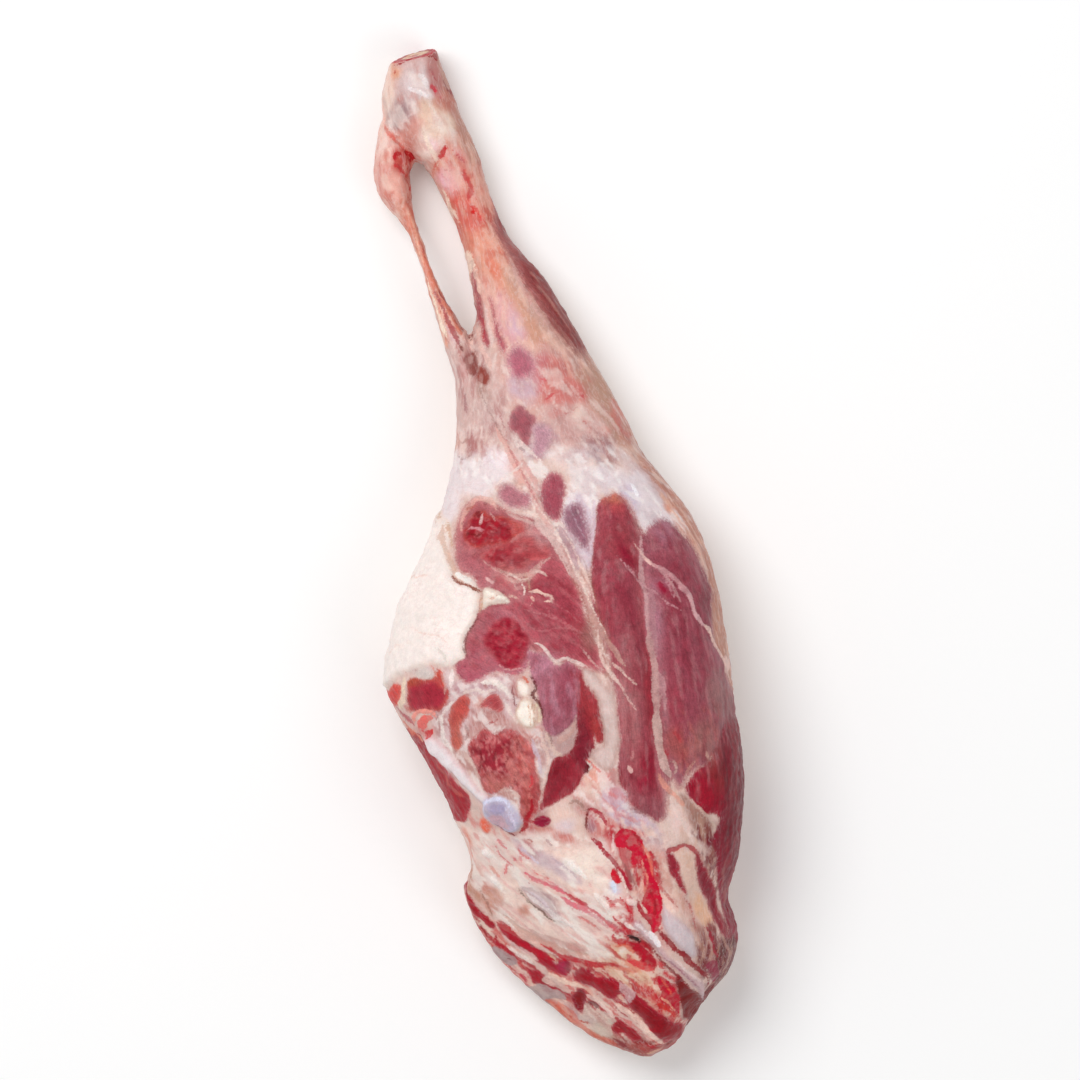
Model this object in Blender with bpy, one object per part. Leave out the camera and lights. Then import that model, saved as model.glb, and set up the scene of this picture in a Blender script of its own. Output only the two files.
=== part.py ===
"""Raw leg of lamb with chump and hock, lying on its outer side: one closed solid of meat on the bone.

Run it with: blender --background --python part.py, or from Blender's text editor.

Frame: +Z up, origin on the surface that the leg lies on, under the middle of its outline. +Y runs along the leg to the
sawn hock, -Y to the chump, +X to the front of the leg (knee side) and -X to its back (heel side).
Sizes are in millimetres and turned to metres with MM where the meshes are made.
"""

import math

import bmesh
import bpy
import numpy as np
from mathutils import Vector

MM = 0.001

# Driving sizes.
LENGTH = 506.0  # from the tip of the chump to the sawn hock
DEPTH = 100.0  # thickness at the thigh
HALF_LENGTH = LENGTH / 2
TIP_Y = -HALF_LENGTH
OVER_HOCK_Y = HALF_LENGTH + 9.0  # the body is lofted past the saw cut, and then cut there

# Mesh density.
STATION_STEP = 6.0  # between sections along the leg
UPPER_POINTS = 34  # round the upper half of a section
LOWER_POINTS = 16  # round the lower half
TUBE_POINTS = 14  # round the heel and tendon
TUBE_STEP = 5.0

# The saw cut through the hock: a point on it and its outward normal, leaning slightly to the viewer.
HOCK_CUT_POINT = (-71.5, 247.1, 30.0)
HOCK_CUT_NORMAL = (-0.27, 0.95, 0.13)

# The chump's cut face: it starts at this height at the outline and climbs inwards this steeply.
CHUMP_CUT_POINT = (-46.0, -172.0)
CHUMP_CUT_INWARD = (0.681, 0.732)
CHUMP_CUT_FOOT = 37.0
CHUMP_CUT_RISE = 1.15
CHUMP_CUT_BLEND = 10.0

# Outline of the leg seen from above, as (y, x). The back edge runs inside the hock's opening, which the heel and its
# tendon close on the far side.
BACK_EDGE = (
    (262, -79), (244, -84), (230, -88), (214, -87), (204, -80), (196, -69), (180, -59), (160, -49.5),
    (140, -44), (116, -41), (100, -47), (86, -51), (60, -50.5), (36, -54), (0, -65), (-30, -79),
    (-50, -83.5), (-66, -86), (-80, -80.3), (-108, -64.5), (-134, -51.3), (-158, -43), (-168, -46.5),
    (-200, -32.8), (-226, -5.5), (-245, 20), (-253, 42),
)  # fmt: skip
FRONT_EDGE = (
    (262, -64), (250, -60.3), (220, -49.3), (196, -39), (170, -31), (152, -20.8), (140, -9), (110, 9.3),
    (84, 24.5), (64, 35.5), (50, 42), (36, 53.2), (20, 65.5), (-5, 76.6), (-40, 83.7), (-80, 88.5), (-115, 92),
    (-148, 90), (-174, 84.7), (-192, 90), (-206, 88), (-222, 76.2), (-236, 66), (-247, 58.5), (-253, 46),
)  # fmt: skip

# Heights over the surface, as (y, z): the crest of the upper side, the widest level, and the outer side, which dips
# under the surface where the meat's own weight flattens it.
CREST = (
    (262, 33), (225, 34), (200, 32), (180, 29), (160, 31), (130, 40), (100, 50), (70, 59), (40, 69), (0, 83),
    (-40, 0.95 * DEPTH), (-80, DEPTH), (-120, 0.99 * DEPTH), (-150, 0.94 * DEPTH), (-180, 87), (-210, 77),
    (-235, 61), (-253, 38),
)  # fmt: skip
WAIST = (
    (262, 17), (225, 17), (180, 17), (130, 22), (70, 30), (0, 41), (-60, 46), (-120, 43), (-152, 34),
    (-180, 23), (-215, 20), (-253, 20),
)  # fmt: skip
OUTER_SIDE = (
    (262, 2), (225, -1), (190, 3), (160, 6), (130, 6.5), (100, 4), (70, 0.5), (40, -4), (0, -8), (-60, -10),
    (-120, -10), (-170, -8), (-210, -3), (-240, 5), (-253, 14),
)  # fmt: skip
# How square the upper half is (2 is an ellipse), and how far the crest leans to the front, as a share of the width.
SQUARENESS = ((262, 2.4), (200, 2.3), (140, 2.0), (60, 2.1), (-20, 2.25), (-90, 2.4), (-180, 2.6), (-253, 2.2))
LEAN = ((262, 0.0), (180, 0.0), (120, 0.05), (40, 0.08), (-60, 0.12), (-140, 0.08), (-200, 0.04), (-253, 0.0))
LOWER_SQUARENESS = 2.2

# Heel bone and the tendon behind the opening, as (x, y, middle z, half width, half height).
HEEL_AND_TENDON = (
    (-82.0, 222, 18, 3.0, 8.0),
    (-84.0, 211, 18, 5.5, 11.5),
    (-84.0, 198, 18, 7.6, 13.0),
    (-83.0, 187, 18, 8.8, 13.0),
    (-80.6, 177, 18, 7.6, 11.5),
    (-75.9, 168, 18, 4.0, 8.0),
    (-70.9, 157, 19, 2.3, 5.5),
    (-66.3, 144, 21, 2.2, 5.5),
    (-61.6, 130, 23, 2.8, 6.5),
    (-55.6, 116, 25, 4.9, 9.0),
    (-49.5, 102, 27, 6.6, 13.0),
    (-44.0, 86, 28, 7.0, 14.0),
)

# Relief of the upper side: (x, y, half length, half width, heading, height). The heading is in degrees from +Y towards
# +X, along the length.
RELIEF = {
    "long inner muscle": (34, -52, 92, 12, 174, 4.5),
    "front muscle": (64, -48, 66, 14, 175, 3.5),
    "furrow by the front muscle": (46, -60, 70, 4, 175, -2.0),
    "furrow behind the long muscle": (16, -30, 48, 6, 158, -3.0),
    "bend behind the knee": (-2, 30, 34, 16, 140, -2.5),
    "tibia under its skin": (-24, 128, 52, 9, 148, 2.5),
    "shin muscle": (-2, 118, 40, 7, 148, 1.5),
    "hock joint": (-66, 214, 16, 9, 150, 2.5),
    "fat cover": (-68, -28, 46, 16, 197, 3.0),
    "upper cut muscle": (-33, 4, 20, 15, 120, 3.0),
    "middle cut muscle": (-27, -45, 15, 13, 160, -3.0),
    "hip muscle": (-30, -102, 24, 19, 150, 4.5),
    "ridge of the pubic bone": (-48, -112, 26, 5, 139, 3.5),
    "gristle knob of the pubic bone": (-27, -132, 11, 7, 118, 5.0),
    "violet muscle": (0, -72, 22, 11, 172, 3.0),
    "crescent hollow": (8, -106, 26, 8, 205, -6.0),
    "fat seam": (24, -92, 30, 5, 168, 3.0),
    "flank hollow": (-70, -76, 12, 9, 140, -3.0),
    "pelvic fat": (-2, -168, 42, 20, 125, 4.0),
    "bloody channel": (44, -160, 30, 6, 165, -5.0),
    "spine channel": (50, -212, 34, 5, 142, -4.0),
    "spine": (64, -192, 28, 9, 150, 4.0),
    "front gristle": (62, -148, 22, 10, 155, 2.5),
}


def through(stations):
    """A smooth function through (y, value) stations that doesn't overshoot them."""
    y, value = np.array(sorted(stations), float).T
    step = np.diff(y)
    rise = np.diff(value) / step
    same_way = rise[1:] * rise[:-1] > 0
    safe = np.where(same_way, rise[1:] + rise[:-1], 1.0)
    inner = np.where(same_way, 2 * rise[1:] * rise[:-1] / safe, 0.0)
    slope = np.concatenate([rise[:1], inner, rise[-1:]])

    def at(q):
        i = np.clip(np.searchsorted(y, q) - 1, 0, len(y) - 2)
        t = np.clip((q - y[i]) / step[i], 0.0, 1.0)
        start = (1 + 2 * t) * (1 - t) ** 2 * value[i] + t * (1 - t) ** 2 * step[i] * slope[i]
        end = t * t * (3 - 2 * t) * value[i + 1] - t * t * (1 - t) * step[i] * slope[i + 1]
        return start + end

    return at


def smooth_least(a, b, blend):
    """The lesser of a and b, rounded where they cross."""
    share = np.clip(0.5 + (b - a) / (2 * blend), 0.0, 1.0)
    return a * share + b * (1 - share) - blend * share * (1 - share)


def relief(x, y):
    """How far the muscles, fat and bones raise or sink the upper side at (x, y)."""
    total = np.zeros_like(x)
    for centre_x, centre_y, half_length, half_width, heading, height in RELIEF.values():
        along_x, along_y = math.sin(math.radians(heading)), math.cos(math.radians(heading))
        dx, dy = x - centre_x, y - centre_y
        along = (dx * along_x + dy * along_y) / half_length
        across = (dx * along_y - dy * along_x) / half_width
        total += height * np.exp(-((along**2) ** 2) - across**2)
    return total


def section(y, profiles):
    """One closed section of the body at y: its points, from the front edge over the crest to the back edge and under."""
    back, front, crest, waist, outer, square, lean = (profile(y) for profile in profiles)
    middle, half = (front + back) / 2, (front - back) / 2
    upper = np.linspace(0.0, math.pi, UPPER_POINTS, endpoint=False)
    lower = np.linspace(math.pi, 2 * math.pi, LOWER_POINTS, endpoint=False)

    cosine, sine = np.cos(upper), np.sin(upper)
    across = np.sign(cosine) * np.abs(cosine) ** (2 / square)
    x_up = middle + half * (across + lean * sine**2)
    z_up = waist + (crest - waist) * sine ** (2 / square)
    inward_x, inward_y = CHUMP_CUT_INWARD
    depth = (x_up - CHUMP_CUT_POINT[0]) * inward_x + (y - CHUMP_CUT_POINT[1]) * inward_y
    z_cut = CHUMP_CUT_FOOT + CHUMP_CUT_RISE * depth
    z_up = smooth_least(z_up, np.maximum(z_cut, waist), CHUMP_CUT_BLEND * sine + 0.01)
    z_up = z_up + relief(x_up, np.full_like(x_up, y)) * sine

    cosine, sine = np.cos(lower), np.abs(np.sin(lower))
    x_low = middle + half * np.sign(cosine) * np.abs(cosine) ** (2 / LOWER_SQUARENESS)
    z_low = waist - (waist - outer) * sine ** (2 / LOWER_SQUARENESS)
    x, z = np.concatenate([x_up, x_low]), np.concatenate([z_up, z_low])
    return [Vector((px * MM, y * MM, pz * MM)) for px, pz in zip(x, z, strict=True)]


def loft(name, rings):
    """A closed mesh object through rings of equally many points, with both ends filled."""
    mesh = bmesh.new()
    loops = [[mesh.verts.new(point) for point in ring] for ring in rings]
    for first, second in zip(loops, loops[1:], strict=False):
        for i in range(len(first)):
            j = (i + 1) % len(first)
            mesh.faces.new((first[i], first[j], second[j], second[i]))
    mesh.faces.new(loops[0])
    mesh.faces.new(loops[-1])
    bmesh.ops.recalc_face_normals(mesh, faces=mesh.faces)
    data = bpy.data.meshes.new(name)
    mesh.to_mesh(data)
    mesh.free()
    made = bpy.data.objects.new(name, data)
    bpy.context.scene.collection.objects.link(made)
    return made


def station_places():
    """Where the body's sections stand: evenly along the leg, and closer and closer at the chump's tip."""
    even = np.arange(OVER_HOCK_Y, TIP_Y + 12.0, -STATION_STEP)
    closing = TIP_Y + np.array([9.0, 6.0, 3.6, 1.8, 0.7, 0.2])
    return np.concatenate([even, closing])


def make_body():
    """Thigh, chump, shank and hock in one loft."""
    tables = (BACK_EDGE, FRONT_EDGE, CREST, WAIST, OUTER_SIDE, SQUARENESS, LEAN)
    profiles = [through(table) for table in tables]
    return loft("leg_of_lamb", [section(y, profiles) for y in station_places()])


def make_heel_and_tendon():
    """The heel bone's lump and the tendon that runs from it to the calf, behind the opening."""
    guide = np.array(HEEL_AND_TENDON, float)
    run = np.concatenate([[0.0], np.cumsum(np.linalg.norm(np.diff(guide[:, :2], axis=0), axis=1))])
    columns = [through(list(zip(run, guide[:, k], strict=True))) for k in range(5)]
    places = np.linspace(0.0, run[-1], round(run[-1] / TUBE_STEP) + 1)
    x, y, z, half_width, half_height = (column(places) for column in columns)
    side_x, side_y = np.gradient(y), -np.gradient(x)
    size = np.hypot(side_x, side_y)
    turns = np.linspace(0.0, 2 * math.pi, TUBE_POINTS, endpoint=False)
    rings = []
    for i in range(len(places)):
        out = half_width[i] * np.cos(turns)
        up = half_height[i] * np.sin(turns)
        ring_x = x[i] + out * side_x[i] / size[i]
        ring_y = y[i] + out * side_y[i] / size[i]
        rings.append([Vector((a * MM, b * MM, (z[i] + c) * MM)) for a, b, c in zip(ring_x, ring_y, up, strict=True)])
    return loft("heel_and_tendon", rings)


def join(target, other):
    """Unites the other object into the target for good."""
    union = target.modifiers.new("join", "BOOLEAN")
    union.operation = "UNION"
    union.solver = "EXACT"
    union.object = other
    graph = bpy.context.evaluated_depsgraph_get()
    target.data = bpy.data.meshes.new_from_object(target.evaluated_get(graph))
    target.modifiers.clear()
    bpy.data.objects.remove(other)


def slice_flat(target, point, normal):
    """Cuts away what lies past a plane, and closes the cut with one flat face."""
    mesh = bmesh.new()
    mesh.from_mesh(target.data)
    bmesh.ops.bisect_plane(
        mesh,
        geom=[*mesh.verts, *mesh.edges, *mesh.faces],
        dist=0.0,
        plane_co=Vector(point) * MM,
        plane_no=Vector(normal),
        clear_outer=True,
    )
    rim = [edge for edge in mesh.edges if edge.is_boundary]
    bmesh.ops.edgeloop_fill(mesh, edges=rim)
    bmesh.ops.recalc_face_normals(mesh, faces=mesh.faces)
    mesh.to_mesh(target.data)
    mesh.free()


def meat_material():
    material = bpy.data.materials.new("raw_meat")
    material.use_nodes = True
    shader = material.node_tree.nodes["Principled BSDF"]
    shader.inputs["Base Color"].default_value = (0.46, 0.11, 0.11, 1.0)
    shader.inputs["Roughness"].default_value = 0.42
    shader.inputs["Metallic"].default_value = 0.0
    return material


def clear_scene():
    for obj in list(bpy.data.objects):
        bpy.data.objects.remove(obj, do_unlink=True)


def main():
    clear_scene()
    leg = make_body()
    join(leg, make_heel_and_tendon())
    slice_flat(leg, HOCK_CUT_POINT, HOCK_CUT_NORMAL)
    slice_flat(leg, (0, 0, 0), (0, 0, -1))
    leg.data.materials.clear()
    leg.data.materials.append(meat_material())
    leg.data.shade_smooth()
    leg.data.set_sharp_from_angle(angle=math.radians(50))


main()
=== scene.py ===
"""Looks of the raw leg of lamb: fine surface relief, painted tissue zones and a wet meat material.

Plan coordinates are millimetres in the leg's own frame: x to the knee side, y to the hock, seen from above.
Tones are display values from 0 to 255.
"""

import bpy
import numpy as np
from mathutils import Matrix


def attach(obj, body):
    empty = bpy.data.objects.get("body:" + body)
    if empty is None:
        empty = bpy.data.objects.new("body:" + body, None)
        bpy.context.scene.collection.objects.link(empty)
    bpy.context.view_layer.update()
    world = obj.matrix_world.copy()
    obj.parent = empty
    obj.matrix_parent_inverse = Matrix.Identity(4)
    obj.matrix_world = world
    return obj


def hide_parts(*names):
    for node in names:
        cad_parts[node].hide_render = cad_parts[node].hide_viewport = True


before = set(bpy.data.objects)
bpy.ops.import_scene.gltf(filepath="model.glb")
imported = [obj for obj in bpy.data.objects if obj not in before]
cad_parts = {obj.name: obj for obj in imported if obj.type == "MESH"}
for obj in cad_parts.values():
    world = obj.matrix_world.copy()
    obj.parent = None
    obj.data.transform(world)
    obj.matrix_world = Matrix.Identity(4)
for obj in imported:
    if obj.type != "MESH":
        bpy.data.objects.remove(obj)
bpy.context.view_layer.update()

MM = 0.001
SKIN_STEP = 1.22  # spacing of the fine surface, in mm
SMOOTHING_ROUNDS = 24
SMOOTHING_SHARES = (0.5, -0.52)  # in, and back out again, so that the form keeps its size
OUTER_SIDE_BELOW = -0.25  # the outer side is where the upward part of the normal is under this
TRIANGLES_KEPT = 0.69  # after the outer side is thinned
REACH = 12.0  # how far from an outline its distance is worked out, in mm
STREAK_RIM = 3  # how far to each side of their outline streaks fade, in mm
STREAK_SEED = 600
SHEEN = 0.012  # light that the wet surface reflects whatever its colour
OCTAVE_SHIFT = 17.3  # keeps the lattices of a noise's octaves apart
NOISE_GAIN = 1.7  # brings a noise's range back to about -1 to 1


# ---------------------------------------------------------------- noise and curves


def ease(low, high, value):
    """From 0 at low to 1 at high, with soft ends."""
    t = np.clip((value - low) / (high - low), 0.0, 1.0)
    return t * t * (3 - 2 * t)


def one_octave(places, seed):
    """Smooth random values from -1 to 1, on a lattice of unit step."""
    rng = np.random.default_rng(seed)
    order = rng.permutation(256)
    values = rng.uniform(-1.0, 1.0, 256)
    cell = np.floor(places).astype(np.int64)
    part = places - cell
    part = part * part * part * (part * (part * 6 - 15) + 10)
    total = np.zeros(len(places))
    for corner in range(8):
        step = np.array([corner & 1, corner >> 1 & 1, corner >> 2 & 1])
        at = (cell + step) & 255
        pick = order[(order[(order[at[:, 0]] + at[:, 1]) & 255] + at[:, 2]) & 255]
        share = np.prod(np.where(step == 1, part, 1 - part), axis=1)
        total += share * values[pick]
    return total


def noise(places, size, seed, octaves=3):
    """Smooth random values of about -1 to 1 whose largest lumps are about `size` mm."""
    total, strength, whole = np.zeros(len(places)), 1.0, 0.0
    for octave in range(octaves):
        total += strength * one_octave(places / size + OCTAVE_SHIFT * octave, seed + octave)
        whole += strength
        strength *= 0.5
        size *= 0.5
    return total / whole * NOISE_GAIN


def smooth_curve(points, closed, step=2.0):
    """Points about `step` mm apart on a Catmull-Rom curve through the given ones."""
    p = np.array(points, float)
    if closed:
        p = np.concatenate([p[-1:], p, p[:2]])
    else:
        p = np.concatenate([2 * p[:1] - p[1:2], p, 2 * p[-1:] - p[-2:-1]])
    out = []
    for a, b, c, d in zip(p, p[1:], p[2:], p[3:], strict=False):
        count = max(1, round(float(np.hypot(*(c - b)[:2])) / step))
        for t in np.arange(count) / count:
            square, cube = 2 * a - 5 * b + 4 * c - d, 3 * b - a - 3 * c + d
            out.append(0.5 * (2 * b + (c - a) * t + square * t**2 + cube * t**3))
    if not closed:
        out.append(p[-2])
    return np.array(out)


def depth_inside(x, y, outline):
    """Distance in mm inside a closed outline: negative outside it, and never below -REACH."""
    loop = smooth_curve(outline, True)
    low, high = loop.min(0) - REACH, loop.max(0) + REACH
    near = (x > low[0]) & (x < high[0]) & (y > low[1]) & (y < high[1])
    px, py = x[near], y[near]
    nearest = np.full(len(px), REACH**2)
    inside = np.zeros(len(px), bool)
    for (ax, ay), (bx, by) in zip(loop, np.roll(loop, -1, axis=0), strict=True):
        ex, ey = bx - ax, by - ay
        t = np.clip(((px - ax) * ex + (py - ay) * ey) / (ex * ex + ey * ey + 1e-12), 0, 1)
        nearest = np.minimum(nearest, (px - ax - t * ex) ** 2 + (py - ay - t * ey) ** 2)
        if ay != by:
            inside ^= ((ay > py) != (by > py)) & (px < ex * (py - ay) / ey + ax)
    depth = np.full(len(x), -REACH)
    depth[near] = np.sqrt(nearest) * np.where(inside, 1, -1)
    return depth


def stroke_profile(x, y, points, start_width, end_width):
    """Half the stroke's width less the distance to its line, in mm, and the half width: its ends taper."""
    line = smooth_curve(points, False, 1.5)
    low, high = line.min(0) - REACH, line.max(0) + REACH
    near = (x > low[0]) & (x < high[0]) & (y > low[1]) & (y < high[1])
    px, py = x[near], y[near]
    run = np.concatenate([[0], np.cumsum(np.hypot(*np.diff(line, axis=0).T))])
    run /= run[-1]
    half = 0.5 * (start_width + (end_width - start_width) * run)
    half = half * (0.15 + 0.85 * np.clip(np.minimum(run, 1 - run) / 0.18, 0, 1) ** 0.6)
    best = np.full(len(px), -REACH)
    best_half = np.ones(len(px))
    for i in range(len(line) - 1):
        (ax, ay), (ex, ey) = line[i], line[i + 1] - line[i]
        t = np.clip(((px - ax) * ex + (py - ay) * ey) / (ex * ex + ey * ey + 1e-12), 0, 1)
        here = half[i] + (half[i + 1] - half[i]) * t
        depth = here - np.hypot(px - ax - t * ex, py - ay - t * ey)
        better = depth > best
        best = np.where(better, depth, best)
        best_half = np.where(better, here, best_half)
    depth, width = np.full(len(x), -REACH), np.ones(len(x))
    depth[near], width[near] = best, best_half
    return depth, width


def turned(x, y, heading):
    """Places along and across a heading, in degrees from the hock towards the knee side."""
    turn = np.radians(heading)
    return x * np.sin(turn) + y * np.cos(turn), x * np.cos(turn) - y * np.sin(turn)


def linear(tone):
    """The base colour of a surface that shows this display tone: the sheen over it adds the rest."""
    c = np.array(tone, float) / 255
    seen = np.where(c <= 0.04045, c / 12.92, ((c + 0.055) / 1.055) ** 2.4)
    return np.clip((seen - SHEEN) / (1 - SHEEN), 0.004, 1.0)


# ---------------------------------------------------------------- the fine surface


def read_mesh(mesh):
    """Its places, in mm, and the pairs of vertices that its edges join."""
    places = np.empty(len(mesh.vertices) * 3, np.float32)
    mesh.vertices.foreach_get("co", places)
    edges = np.empty(len(mesh.edges) * 2, np.int32)
    mesh.edges.foreach_get("vertices", edges)
    return places.reshape(-1, 3).astype(float) / MM, edges.reshape(-1, 2)


def write_places(mesh, places):
    mesh.vertices.foreach_set("co", (places * MM).astype(np.float32).ravel())
    mesh.update()


def vertex_normals(mesh):
    """The way the surface faces at each vertex."""
    normals = np.empty(len(mesh.vertices) * 3, np.float32)
    mesh.vertex_normals.foreach_get("vector", normals)
    return normals.reshape(-1, 3).astype(float)


def averaged(values, edges, count):
    """Each vertex's mean over its neighbours."""
    a, b = edges.T
    number = np.bincount(a, minlength=count) + np.bincount(b, minlength=count)
    columns = [
        np.bincount(a, values[b, k], minlength=count) + np.bincount(b, values[a, k], minlength=count)
        for k in range(values.shape[1])
    ]
    return np.stack(columns, 1) / np.maximum(number, 1)[:, None]


def applied(obj):
    """The object's mesh with its modifiers made real."""
    graph = bpy.context.evaluated_depsgraph_get()
    mesh = bpy.data.meshes.new_from_object(obj.evaluated_get(graph))
    obj.modifiers.clear()
    obj.data = mesh
    return mesh


def fine_skin(node):
    """A fine, even mesh over the solid: its facets are smoothed out, and the outer side is kept coarser."""
    skin = bpy.data.objects.new("lamb_leg_surface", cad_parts[node].data.copy())
    bpy.context.scene.collection.objects.link(skin)
    remesh = skin.modifiers.new("even", "REMESH")
    remesh.mode = "VOXEL"
    remesh.voxel_size = SKIN_STEP * MM
    mesh = applied(skin)
    places, edges = read_mesh(mesh)
    for _ in range(SMOOTHING_ROUNDS):
        for share in SMOOTHING_SHARES:
            places += share * (averaged(places, edges, len(places)) - places)
    write_places(mesh, places)

    upward = vertex_normals(mesh)[:, 2]
    outer = skin.vertex_groups.new(name="outer_side")
    for weight in (0.0, 1.0):
        chosen = (upward < OUTER_SIDE_BELOW) == (weight == 1.0)
        outer.add(np.nonzero(chosen)[0].tolist(), weight, "REPLACE")
    thin = skin.modifiers.new("coarser_below", "DECIMATE")
    thin.ratio = TRIANGLES_KEPT
    thin.vertex_group = "outer_side"
    mesh = applied(skin)
    skin.vertex_groups.clear()
    mesh.materials.clear()
    return skin


# ---------------------------------------------------------------- what lies where
# Outlines and lines are given as "x y, x y, ...".

LEAN, PALE = "lean", "pale"
PLAIN_LEAN, PLAIN_PALE = (176, 92, 98), (222, 190, 180)
USUAL_HEADING = 165.0  # of the fibres where no zone says otherwise, in degrees

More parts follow.
